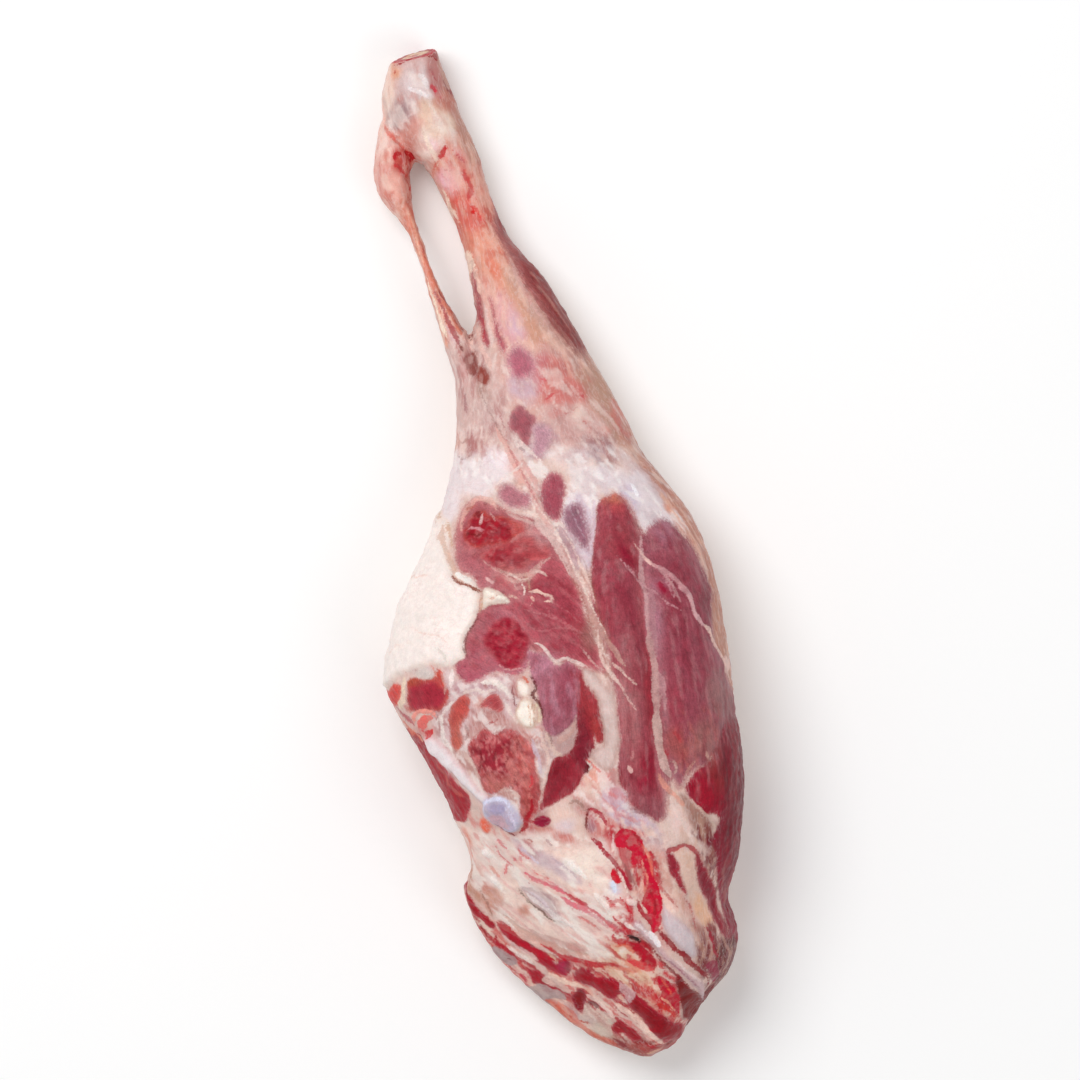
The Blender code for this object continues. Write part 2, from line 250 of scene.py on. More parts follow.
# Soft areas under everything else: (tone, strength, softness of the rim, outline).
GROUND = (
    # hock
    ((220, 176, 164), 1, 4, "-86 252, -56 256, -44 222, -34 196, -50 188, -70 197, -82 206, -94 214"),
    ((236, 200, 186), 0.9, 2.5, "-92 240, -84 242, -82 222, -84 211, -94 211"),
    ((188, 134, 119), 0.95, 3, "-60 256, -52 256, -30 186, -37 184, -46 196, -53 213, -59 232"),
    ((210, 184, 182), 0.95, 3,
     "-79 245, -68 247, -62 241, -60 228, -66 223, -74 213, -83 212, -84 222, -80 234"),
    ((220, 200, 200), 0.9, 2, "-74 239, -68 242, -65 235, -62 226, -69 227, -75 232"),
    ((186, 124, 120), 0.9, 2, "-66 247, -60 247, -57 236, -59 228, -64 230, -65 238"),
    ((232, 196, 176), 0.95, 2.5, "-70 224, -60 225, -53 216, -52 206, -60 202, -67 208"),
    ((222, 158, 147), 0.75, 3, "-80 211, -75 218, -69 216, -67 208, -70 199, -77 203"),
    ((232, 177, 175), 0.95, 2, "-61 192, -52 202, -46 196, -46 184, -52 178, -58 184"),
    # heel and tendon
    ((232, 178, 165), 1, 2.5,
     "-90 214, -78 205, -69 197, -71 186, -76 176, -78 162, -92 172, -99 190, -94 206"),
    ((214, 112, 98), 0.9, 3, "-85 202, -78 204, -70 197, -72 187, -74 172, -78 172, -82 184, -85 190"),
    ((192, 76, 70), 0.95, 1.5, "-83 200, -80 202, -75 200, -69 196, -73 189, -77 187, -82 190, -83 195"),
    ((190, 84, 70), 0.95, 1.2, "-76 195, -70 196, -73 187, -76 184, -78 189"),
    ((222, 138, 116), 1, 3,
     "-80 174, -71 180, -69 165, -63 148, -55 128, -47 112, -42 102, -54 97, -62 112, -70 135, -77 155"),
    # shin
    ((222, 138, 118), 1, 3.5,
     "-63 193, -50 197, -44 190, -30 172, -24 158, -18 140, -28 128, -38 126, -43 140, -50 160, -57 177"),
    ((216, 106, 96), 0.85, 3, "-55 184, -45 187, -37 181, -34 166, -41 160, -50 166"),
    ((232, 176, 174), 0.8, 2, "-60 190, -53 196, -47 190, -48 182, -53 178, -58 184"),
    ((194, 104, 92), 0.9, 2, "-43 194, -32 190, -25 168, -33 160, -38 168, -42 180"),
    ((230, 158, 136), 0.9, 3, "-42 156, -34 154, -26 140, -24 130, -34 128, -40 138"),
    ((236, 186, 174), 0.9, 2.5, "-40 137, -33 136, -26 124, -26 110, -34 110, -37 120"),
    ((222, 162, 163), 0.95, 3, "-31 128, -22 130, -14 114, -12 101, -22 99, -29 108"),
    ((212, 156, 134), 0.95, 3, "-28 142, -20 138, -14 123, -4 109, 4 98, -4 90, -14 102, -20 118, -27 130"),
    ((202, 158, 146), 0.9, 2, "-26 152, -15 134, -3 116, 8 102, 16 94, 4 94, -7 108, -17 124, -26 140"),
    # knee
    ((216, 168, 158), 1, 4, "-24 102, 0 102, 22 92, 34 72, 44 56, 30 48, 8 50, -12 56, -26 72, -34 96"),
    ((206, 122, 116), 0.95, 4, "-11 94, 2 97, 13 87, 17 78, 8 71, -4 71, -11 78"),
    ((190, 146, 130), 0.95, 3, "6 100, 24 94, 34 74, 44 58, 33 52, 23 63, 13 79"),
    ((188, 142, 120), 0.6, 1.6, "18 92, 26 88, 32 74, 27 71, 21 80"),
    ((206, 122, 110), 0.85, 1.6, "27 73, 34 74, 42 58, 36 54, 29 64"),
    ((204, 176, 190), 0.8, 4, "-24 87, -16 88, -11 86, -9 79, -16 74, -23 79"),
    ((212, 172, 166), 0.9, 4, "-8 72, 10 72, 25 61, 20 50, 6 52, -6 55"),
    ((166, 126, 128), 0.95, 3, "13 55, 26 57, 33 46, 28 39, 17 43"),
    ((186, 146, 152), 0.9, 2, "-16 60, -8 63, 0 58, -2 51, -8 46, -16 50"),
    # calf
    ((214, 178, 171), 1, 3, "-57 102, -40 106, -30 90, -24 72, -30 52, -54 43, -57 70"),
    ((140, 74, 70), 1, 1.6, "-47 97, -42 100, -40 95, -40 88, -44 87, -46.5 91"),
    ((144, 70, 62), 1, 1.4, "-40 93, -37 92, -33.5 87, -36 82.5, -40 84, -41 88"),
    ((182, 140, 130), 0.85, 1.6, "-40 82, -36 82, -34 76, -36 72, -39 76"),
    ((182, 122, 120), 0.95, 1.6, "-45 60, -41 59, -39 52, -41 46, -45 49"),
    # white sheets of the knee
    ((234, 218, 219), 1, 3,
     "-60 44, -40 48, -26 50, -18 42, -24 35, -32 33, -36 26, -46 28, -54 14, -70 14"),
    ((232, 216, 214), 1, 3, "-6 49, 4 51, 17 47, 26 36, 20 29, 18 6, 13 24, 8 28, 5 38"),
    ((228, 213, 216), 1, 2.5, "20 41, 40 42, 57 26, 63 13, 55 14, 44 11, 40 12, 37 24, 30 30, 21 31"),
    ((210, 194, 212), 0.8, 3, "31 30, 36 34, 40 28, 40 18, 37 20"),
    ((210, 190, 202), 0.9, 2, "5 27, 14 26, 18 12, 17 -8, 13 -8, 6 2, 2 12"),
    ((192, 132, 115), 1, 2,
     "36 62, 46 48, 60 36, 74 16, 80 -4, 86 -30, 79 -30, 74 -8, 66 8, 56 20, 50 30, 40 42, 32 56"),
    ((222, 160, 138), 0.9, 1.6, "53 24, 58 22, 66 10, 71 -2, 68 0, 60 12"),
    ((190, 134, 116), 1, 1.5, "76 -18, 90 -24, 94 -84, 86 -84, 84 -62, 79 -48, 77 -36"),
    ((206, 160, 150), 1, 2,
     "-12 26, -3 15, 6 3, 14 -13, 20 -29, 28 -45, 35 -57, 26 -62, 17 -45, 10 -30, 4 -13, -4 3, -13 17"),
    ((188, 142, 130), 1, 2, "14 -34, 24 -40, 34 -54, 34 -70, 26 -64, 16 -58, 12 -46"),
    ((184, 144, 150), 0.9, 1.6, "0 14, 4 12, 9 4, 12 -6, 8 -8, 3 2, -1 9"),
    # hollow above the hip
    ((212, 178, 178), 1, 2.5,
     "-56 -58, -48 -66, -36 -62, -22 -62, -18 -72, -26 -88, -44 -88, -58 -100, -62 -84"),
    ((192, 150, 156), 0.95, 2, "-50 -64, -42 -66, -26 -64, -24 -70, -40 -70, -50 -70"),
    ((196, 146, 140), 0.9, 2, "-44 -84, -38 -79, -28 -80, -22 -86, -30 -90, -40 -90"),
    ((200, 162, 158), 1, 2, "-9 -84, 0 -92, 9 -84, 9 -96, 4 -103, -3 -104, -8 -110, -11 -98"),
    ((230, 196, 184), 1, 3, "12 -106, 24 -106, 32 -112, 34 -126, 24 -130, 14 -126, 10 -116"),
    ((206, 182, 198), 0.9, 2, "22 -118, 32 -118, 42 -130, 52 -140, 46 -142, 34 -136, 24 -130"),
    ((228, 194, 182), 1, 3, "-6 -130, 6 -128, 14 -130, 14 -140, 10 -148, -4 -146, -12 -138"),
    ((204, 118, 108), 0.95, 1.6, "1 -141, 6 -140.5, 8 -144, 5 -147, 1 -145"),
    ((206, 122, 112), 0.85, 2, "-15 -136, -5 -136, 0 -140, -4 -144, -14 -142"),
    # pelvis
    ((244, 213, 201), 1, 4,
     "-50 -138, -30 -140, -5 -143, 14 -146, 27 -156, 32 -176, 33 -190, 28 -203, 6 -201, -14 -194, -30 -184,"
     "-42 -170, -46 -156"),
    ((240, 216, 207), 0.95, 3, "-42 -140, -30 -141, -22 -148, -26 -160, -36 -157, -42 -150"),
    ((246, 226, 214), 0.9, 3, "6 -150, 18 -148, 26 -158, 26 -168, 16 -166, 8 -160"),
    ((248, 224, 212), 0.9, 3, "-36 -160, -28 -162, -22 -170, -26 -176, -32 -170"),
    ((244, 214, 204), 0.9, 3, "0 -176, 14 -180, 26 -186, 26 -194, 8 -192, -4 -186"),
    # painted shadow: a darker pinkish area under the roll of flesh at the pelvis's lower edge
    ((204, 152, 142), 0.8, 2.5, "-22 -190, -10 -193, 4 -195, 20 -199, 20 -204, 6 -202, -8 -197, -22 -194"),
    ((212, 186, 192), 0.9, 2.5, "-22 -142, -12 -146, -2 -152, 10 -160, 12 -166, 2 -162, -8 -156, -18 -150"),
    ((190, 152, 154), 0.95, 2, "-18 -166, -10 -168, -1 -174, 2 -183, -4 -182, -11 -176"),
    ((192, 150, 152), 0.85, 1.5, "-17 -145, -11 -146, -9 -151, -13 -152"),
    # painted shadow: a tan-brown shade beside the pelvis
    ((192, 134, 112), 0.9, 2.5, "-52 -160, -42 -159, -38 -166, -38 -176, -46 -170"),
    ((206, 142, 122), 0.8, 2, "-38 -166, -32 -166, -27 -174, -31 -182, -37 -178"),
    ((206, 128, 108), 0.8, 1.5, "-19 -178, -15 -177, -14 -181, -18 -181.5"),
    ((228, 148, 128), 0.7, 1.5, "-48 -140, -44 -141, -41 -156, -43 -160, -47 -152"),
    # between the hip and the spine
    ((204, 134, 128), 1, 2,
     "18 -128, 26 -132, 30 -142, 34 -154, 40 -170, 34 -166, 27 -154, 20 -146, 14 -138"),
    ((170, 124, 132), 0.95, 1.2, "15 -130, 18 -130, 19 -138, 17 -140, 14.5 -137"),
    ((210, 150, 140), 1, 2, "36 -148, 42 -152, 46 -166, 46 -178, 40 -174, 37 -162"),
    ((152, 84, 84), 0.9, 1.4, "32 -152, 36 -154, 39 -166, 36 -168, 33 -160"),
    ((204, 172, 172), 0.95, 3, "40 -136, 52 -140, 54 -150, 50 -156, 46 -148, 40 -142"),
    ((214, 162, 150), 0.95, 2.5, "46 -146, 53 -150, 58 -164, 64 -172, 67 -182, 58 -176, 52 -166, 49 -154"),
    ((226, 196, 186), 1, 2, "51 -122, 58 -124, 66 -136, 70 -146, 62 -146, 54 -144, 50 -134"),
    ((156, 110, 98), 0.9, 1.6, "60 -120, 66 -124, 77 -134, 76 -142, 70 -140, 64 -130"),
    ((226, 190, 175), 1, 1.5,
     "58 -149, 66 -149, 69 -157, 71 -169, 76 -178, 79 -187, 74 -186, 68 -179, 65 -171, 61 -159"),
    ((234, 182, 150), 0.9, 1.5, "69 -170, 73 -174, 77 -183, 73 -186, 68 -178"),
    ((124, 44, 56), 1, 2,
     "70 -142, 76 -148, 82 -160, 85 -176, 90 -190, 96 -196, 96 -180, 88 -150, 80 -142"),
    ((180, 130, 120), 1, 2, "66 -184, 72 -187, 77 -194, 79 -204, 72 -208, 69 -203, 70 -194"),
    # the dark brown of the lower right edge: partly the flesh's own colour, partly painted shade on the
    # side away from the light
    ((104, 44, 42), 1, 2.5, "79 -196, 84 -192, 98 -196, 96 -214, 82 -214, 78 -206"),
    # bottom cut
    ((222, 168, 150), 1, 3,
     "20 -196, 36 -194, 48 -206, 52 -214, 60 -232, 50 -244, 36 -234, 20 -226, 8 -212, 12 -204"),
    ((234, 196, 166), 0.9, 2.5, "20 -198, 34 -198, 42 -208, 50 -216, 48 -222, 36 -216, 24 -208"),
    ((220, 122, 108), 0.85, 2, "-31 -188, -24 -196, -18 -200, -24 -202, -32 -196"),
    ((222, 184, 174), 1, 2.5,
     "-24 -198, -10 -204, 4 -212, 20 -218, 32 -226, 46 -240, 56 -250, 36 -250, 16 -238, -2 -228, -20 -210"),
    ((160, 118, 118), 1, 1.4, "-33 -199, -28 -199, -22 -202.5, -20 -206, -24 -208, -30 -206, -36 -204"),
    ((170, 136, 134), 1, 1.4, "-13 -218, -7 -216.5, -2 -219, 3 -221, 4 -224, -2 -224, -8 -226, -14 -222"),
    ((208, 182, 184), 0.9, 2, "4 -228, 12 -232, 22 -232, 18 -238, 8 -236, 2 -232"),
    ((204, 180, 160), 0.9, 2, "18 -236, 28 -234, 32 -244, 26 -252, 16 -246"),
    ((204, 168, 166), 0.9, 1.5, "33 -219, 38 -221, 37 -225, 33 -226"),
    ((206, 92, 72), 0.95, 1.8,
     "-10 -225, -1 -227, 6 -231, 10 -237, 20 -243, 26 -248, 14 -250, -6 -240, -18 -228"),
    ((166, 88, 82), 1, 2.5, "24 -244, 36 -245, 46 -246, 56 -246, 62 -250, 46 -262, 26 -256"),
    ((204, 78, 84), 0.9, 1.6, "-26 -208, -19 -211, -14 -213, -12 -218, -22 -220, -30 -212"),
)

# Stains: (layer, x, y, half length, half width, heading, tone, strength).
STAINS = (
    # red and brown stains at the seams of the thigh
    (PALE, 27, -114, 7, 3, 175, (170, 96, 102), 0.7),
    (PALE, 28, -66, 6, 2.5, 170, (158, 92, 94), 0.6),
    (PALE, 16, -126, 5, 4, 150, (182, 104, 108), 0.6),
    (PALE, 10, -127, 4, 3, 160, (160, 100, 96), 0.5),
    (PALE, -14, -144, 6, 3, 120, (198, 106, 104), 0.6),
    (PALE, -8, -132, 5, 3, 150, (140, 46, 62), 0.6),
    (PALE, -14, -138, 4, 3, 130, (184, 70, 80), 0.5),
    (PALE, 2, -143, 7, 3, 100, (198, 108, 104), 0.6),
    (PALE, 28, -150, 6, 3, 160, (186, 100, 100), 0.6),
    (PALE, -20, -66, 5, 4, 60, (180, 112, 118), 0.6),
    (PALE, -20, -90, 5, 4, 0, (176, 96, 104), 0.5),
    (PALE, -44, -94, 6, 4, 20, (172, 98, 102), 0.5),
    (PALE, -56, -109, 6, 3, 140, (188, 90, 92), 0.6),
    (PALE, -62, -102, 4, 3, 130, (190, 98, 104), 0.6),
    (PALE, -68, -90, 4, 3, 120, (204, 80, 84), 0.5),
    (PALE, 76, -150, 5, 3, 160, (146, 70, 72), 0.5),
    # the same on the chump
    (PALE, -38, -164, 7, 4, 140, (206, 120, 110), 0.6),
    (PALE, 28, -173, 6, 4, 150, (198, 96, 98), 0.6),
    (PALE, 34, -179, 5, 3, 140, (198, 80, 84), 0.6),
    (PALE, 40, -192, 5, 3, 140, (156, 56, 74), 0.6),
    (PALE, 52, -192, 5, 3, 140, (182, 90, 98), 0.5),
    (PALE, 10, -205, 6, 4, 120, (178, 70, 82), 0.5),
    (PALE, -8, -216, 6, 4, 110, (156, 60, 72), 0.5),
    (PALE, 10, -228, 6, 4, 120, (150, 48, 58), 0.5),
    (PALE, 42, -217, 6, 4, 140, (232, 184, 164), 0.6),
    # shank, knee and inner thigh
    (PALE, -56, 204, 5, 4, 0, (210, 112, 98), 0.6),
    (PALE, -21, 57, 7, 3.5, 160, (170, 118, 122), 0.7),
    (PALE, -9, 92, 8, 4, 10, (202, 122, 130), 0.6),
    (LEAN, -8, 6, 4, 3, 150, (214, 172, 172), 0.6),
    (LEAN, -14, 12, 4, 3, 150, (218, 178, 174), 0.6),
    # hock
    (PALE, -81, 240, 4, 3, 20, (228, 158, 120), 0.8),
    (PALE, -74, 245, 4, 8, 0, (222, 186, 182), 0.7),
    (PALE, -58, 214, 6, 4.5, 0, (240, 216, 202), 0.9),
    (PALE, -55, 225, 5, 6, 0, (192, 116, 102), 0.8),
    (PALE, -65, 204, 7, 3.5, 160, (248, 226, 216), 0.9),
    (PALE, -62, 203, 3, 3, 0, (242, 206, 208), 0.8),
    (PALE, -80, 218, 6.5, 5.5, 0, (150, 108, 112), 0.95),
    (PALE, -84, 229, 9, 3, 0, (240, 210, 196), 0.8),
    (PALE, -87, 204, 7, 4.5, 15, (242, 208, 198), 0.95),
    (PALE, -87, 187, 8, 5, 0, (220, 150, 140), 0.9),
    (PALE, -80, 183, 6, 4, 0, (238, 184, 170), 0.8),
    (PALE, -56, 186, 4, 3, 0, (240, 190, 200), 0.8),
    (PALE, -31, 141, 5, 3, 160, (226, 126, 100), 0.8),
    (PALE, -21, 112, 6, 3, 165, (216, 178, 192), 0.8),
    (PALE, 10, 69, 3.5, 3, 0, (234, 204, 192), 0.8),
    (PALE, -47, 90, 8, 2.5, 0, (206, 150, 146), 0.7),
    (PALE, -34, 66, 8, 5, 160, (204, 168, 164), 0.7),
    (PALE, -30, 46, 4, 7, 0, (240, 224, 228), 0.9),
    (PALE, -52, 52, 5, 4, 0, (218, 166, 150), 0.8),
    (PALE, 2, 44, 6, 4, 0, (236, 204, 194), 0.8),
    (PALE, 34, 46, 6, 5, 150, (224, 190, 176), 0.8),
    (PALE, -19, 38, 8, 4, 150, (230, 168, 156), 0.8),
    (PALE, -2, 8, 5, 4, 150, (236, 216, 210), 0.8),
    (PALE, -56, 22, 9, 3, 20, (226, 212, 214), 0.8),
    (PALE, -80, -30, 10, 4, 10, (248, 228, 222), 0.5),
    (PALE, -56, -16, 5, 6, 0, (242, 214, 194), 0.8),
    (PALE, -66, -60, 2.5, 5, 0, (206, 192, 192), 0.9),
    (PALE, -39, -75, 3, 3, 0, (216, 150, 134), 0.7),
    (PALE, -22, -68, 4, 3, 0, (184, 120, 116), 0.8),
    (PALE, -12, -89, 3, 4, 0, (214, 136, 128), 0.9),
    (PALE, -13, -105, 6, 3, 0, (212, 120, 112), 0.6),
    (PALE, 18, -112, 5, 4, 120, (232, 150, 132), 0.7),
    (PALE, 28, -120, 4, 4, 0, (214, 150, 156), 0.7),
    (PALE, 4, -136, 3, 4, 0, (222, 200, 206), 0.8),
    # painted highlight: a whitish oval where the light catches the pelvis
    (PALE, -33, -163, 5, 3, 140, (250, 236, 230), 0.8),
    (PALE, 28, -167, 4, 2.5, 170, (222, 222, 240), 0.9),
    (PALE, 27, -146, 4, 1.8, 0, (240, 214, 210), 0.8),
    (PALE, 31, -192.5, 2.2, 2.2, 0, (246, 226, 214), 0.9),
    (PALE, 33, -180.5, 2, 2, 0, (206, 30, 44), 0.9),
    (PALE, 36, -174, 2.5, 2.5, 0, (244, 224, 218), 0.8),
    (PALE, 38, -207, 3, 7, 0, (226, 134, 114), 0.7),
    (PALE, 14, -221, 3, 4, 0, (232, 160, 140), 0.7),
    (PALE, 60, -134, 6, 4, 150, (240, 206, 200), 0.8),
    (PALE, 44, -250, 3, 3, 0, (130, 54, 50), 0.7),
    (PALE, 54, -248, 2.5, 4, 120, (96, 36, 40), 0.8),
    (PALE, 48, -251, 8, 3, 90, (158, 66, 62), 0.7),
    # the dark brown of the lower right edge: partly the flesh's own colour, partly painted shade
    (PALE, 86, -204, 5, 4, 0, (104, 56, 50), 0.9),
    (LEAN, 28, 26, 3.5, 7, 0, (200, 118, 98), 0.9),
    (LEAN, 28, 21, 4, 6, 0, (184, 78, 82), 0.7),
    (LEAN, 30, 6, 10, 7, 0, (160, 68, 74), 0.6),
    (LEAN, 33, -2, 5, 2, 150, (150, 34, 56), 0.8),
    (LEAN, 37, -5, 5, 2.5, 150, (148, 44, 58), 0.7),
    (LEAN, 24, -26, 12, 6, 172, (160, 62, 74), 0.6),
    (LEAN, 43, -107, 11, 7, 0, (152, 0, 54), 0.95),
    (LEAN, 39, -112, 6, 5, 0, (150, 6, 56), 0.9),
    (LEAN, 45, -70, 22, 3, 177, (160, 50, 62), 0.8),
    (LEAN, 35, -76, 30, 5, 177, (172, 108, 110), 0.8),
    (LEAN, 46, -128, 7, 6, 150, (150, 84, 92), 0.9),
    (LEAN, 31, -112, 5, 2.5, 0, (150, 66, 72), 0.7),
    (LEAN, 53, 10, 5, 8, 90, (166, 110, 124), 0.95),
    (LEAN, 60, 2, 7, 7, 150, (156, 82, 92), 0.7),
    (LEAN, 74, -24, 13, 4, 176, (130, 60, 70), 0.9),
    (LEAN, 50, -18, 4, 3.5, 150, (166, 110, 124), 0.7),
    (LEAN, 52, -20, 4, 1.8, 140, (154, 34, 60), 0.9),
    (LEAN, 48, -34, 12, 3.5, 178, (170, 112, 126), 0.8),
    (LEAN, 62, -58, 12, 7, 172, (154, 72, 86), 0.6),
    (LEAN, 58, -76, 12, 4, 176, (158, 60, 74), 0.6),
    (LEAN, 80, -74, 12, 6, 172, (160, 112, 112), 0.9),
    (LEAN, 72, -94, 9, 7, 150, (166, 112, 108), 0.8),
    (LEAN, 58, -96, 10, 5, 150, (166, 84, 80), 0.7),
    (LEAN, 72, -122, 10, 6, 150, (160, 26, 50), 0.9),
    (LEAN, 80, -112, 8, 5, 160, (150, 58, 58), 0.7),
    (LEAN, 90, -130, 50, 8, 178, (112, 26, 44), 0.9),
    (LEAN, 80, -146, 8, 3, 170, (130, 30, 48), 0.8),
    (LEAN, 0, -11, 7, 5, 150, (186, 98, 106), 0.7),
    (LEAN, 6, -20, 8, 4, 150, (174, 74, 86), 0.6),
    (LEAN, 10, -36, 5, 4, 150, (156, 50, 62), 0.7),
    (LEAN, 15, -44, 7, 4, 165, (150, 96, 90), 0.8),
    (LEAN, -19, 11, 4, 4, 0, (196, 92, 88), 0.8),
    (LEAN, -24, -5, 4, 7, 0, (150, 66, 72), 0.8),
    (LEAN, -14, 2, 4, 7, 0, (182, 96, 98), 0.6),
    (LEAN, -38, 10, 8, 7, 90, (156, 30, 46), 0.7),
    (LEAN, -30, -4, 8, 4, 90, (160, 38, 50), 0.7),
    (LEAN, -22, -13, 9, 4, 90, (192, 130, 124), 0.6),
    (LEAN, 6, 106, 14, 4, 145, (132, 56, 54), 0.8),
    (LEAN, -44, -60, 5, 7, 0, (176, 84, 100), 0.9),
    (LEAN, -38, -36, 10, 4, 215, (168, 84, 92), 0.7),
    (LEAN, -6, -56, 4, 6, 110, (184, 124, 140), 0.8),
    (LEAN, 5, -70, 14, 4, 172, (156, 72, 88), 0.7),
    (LEAN, 14, -74, 12, 4, 165, (164, 60, 66), 0.9),
    (LEAN, 19, -88, 8, 3, 170, (172, 66, 66), 0.9),
    (LEAN, 13, -98, 10, 4, 175, (124, 40, 52), 0.9),
    (LEAN, -68, -75, 4, 6, 0, (166, 56, 68), 0.8),
    (LEAN, -59, -62, 4, 2.5, 0, (210, 84, 66), 0.5),
    (LEAN, -72, -65, 2, 4, 0, (184, 84, 64), 0.8),
    (LEAN, -49, -92, 8, 3, 0, (196, 104, 90), 0.8),
    (LEAN, -46, -76, 4, 3, 0, (196, 84, 78), 0.7),
    (LEAN, -16, -106, 14, 3.5, 172, (200, 106, 98), 0.85),
    (LEAN, -30, -115, 5, 7, 0, (190, 116, 108), 0.8),
    (LEAN, -16, -126, 7, 3, 0, (172, 84, 80), 0.9),
    (LEAN, -20, -100, 8, 4, 170, (186, 92, 88), 0.6),
    (LEAN, 3, -207, 3, 2.5, 0, (172, 40, 76), 0.9),
    (LEAN, 9, -208, 3, 3, 0, (158, 90, 92), 0.8),
)

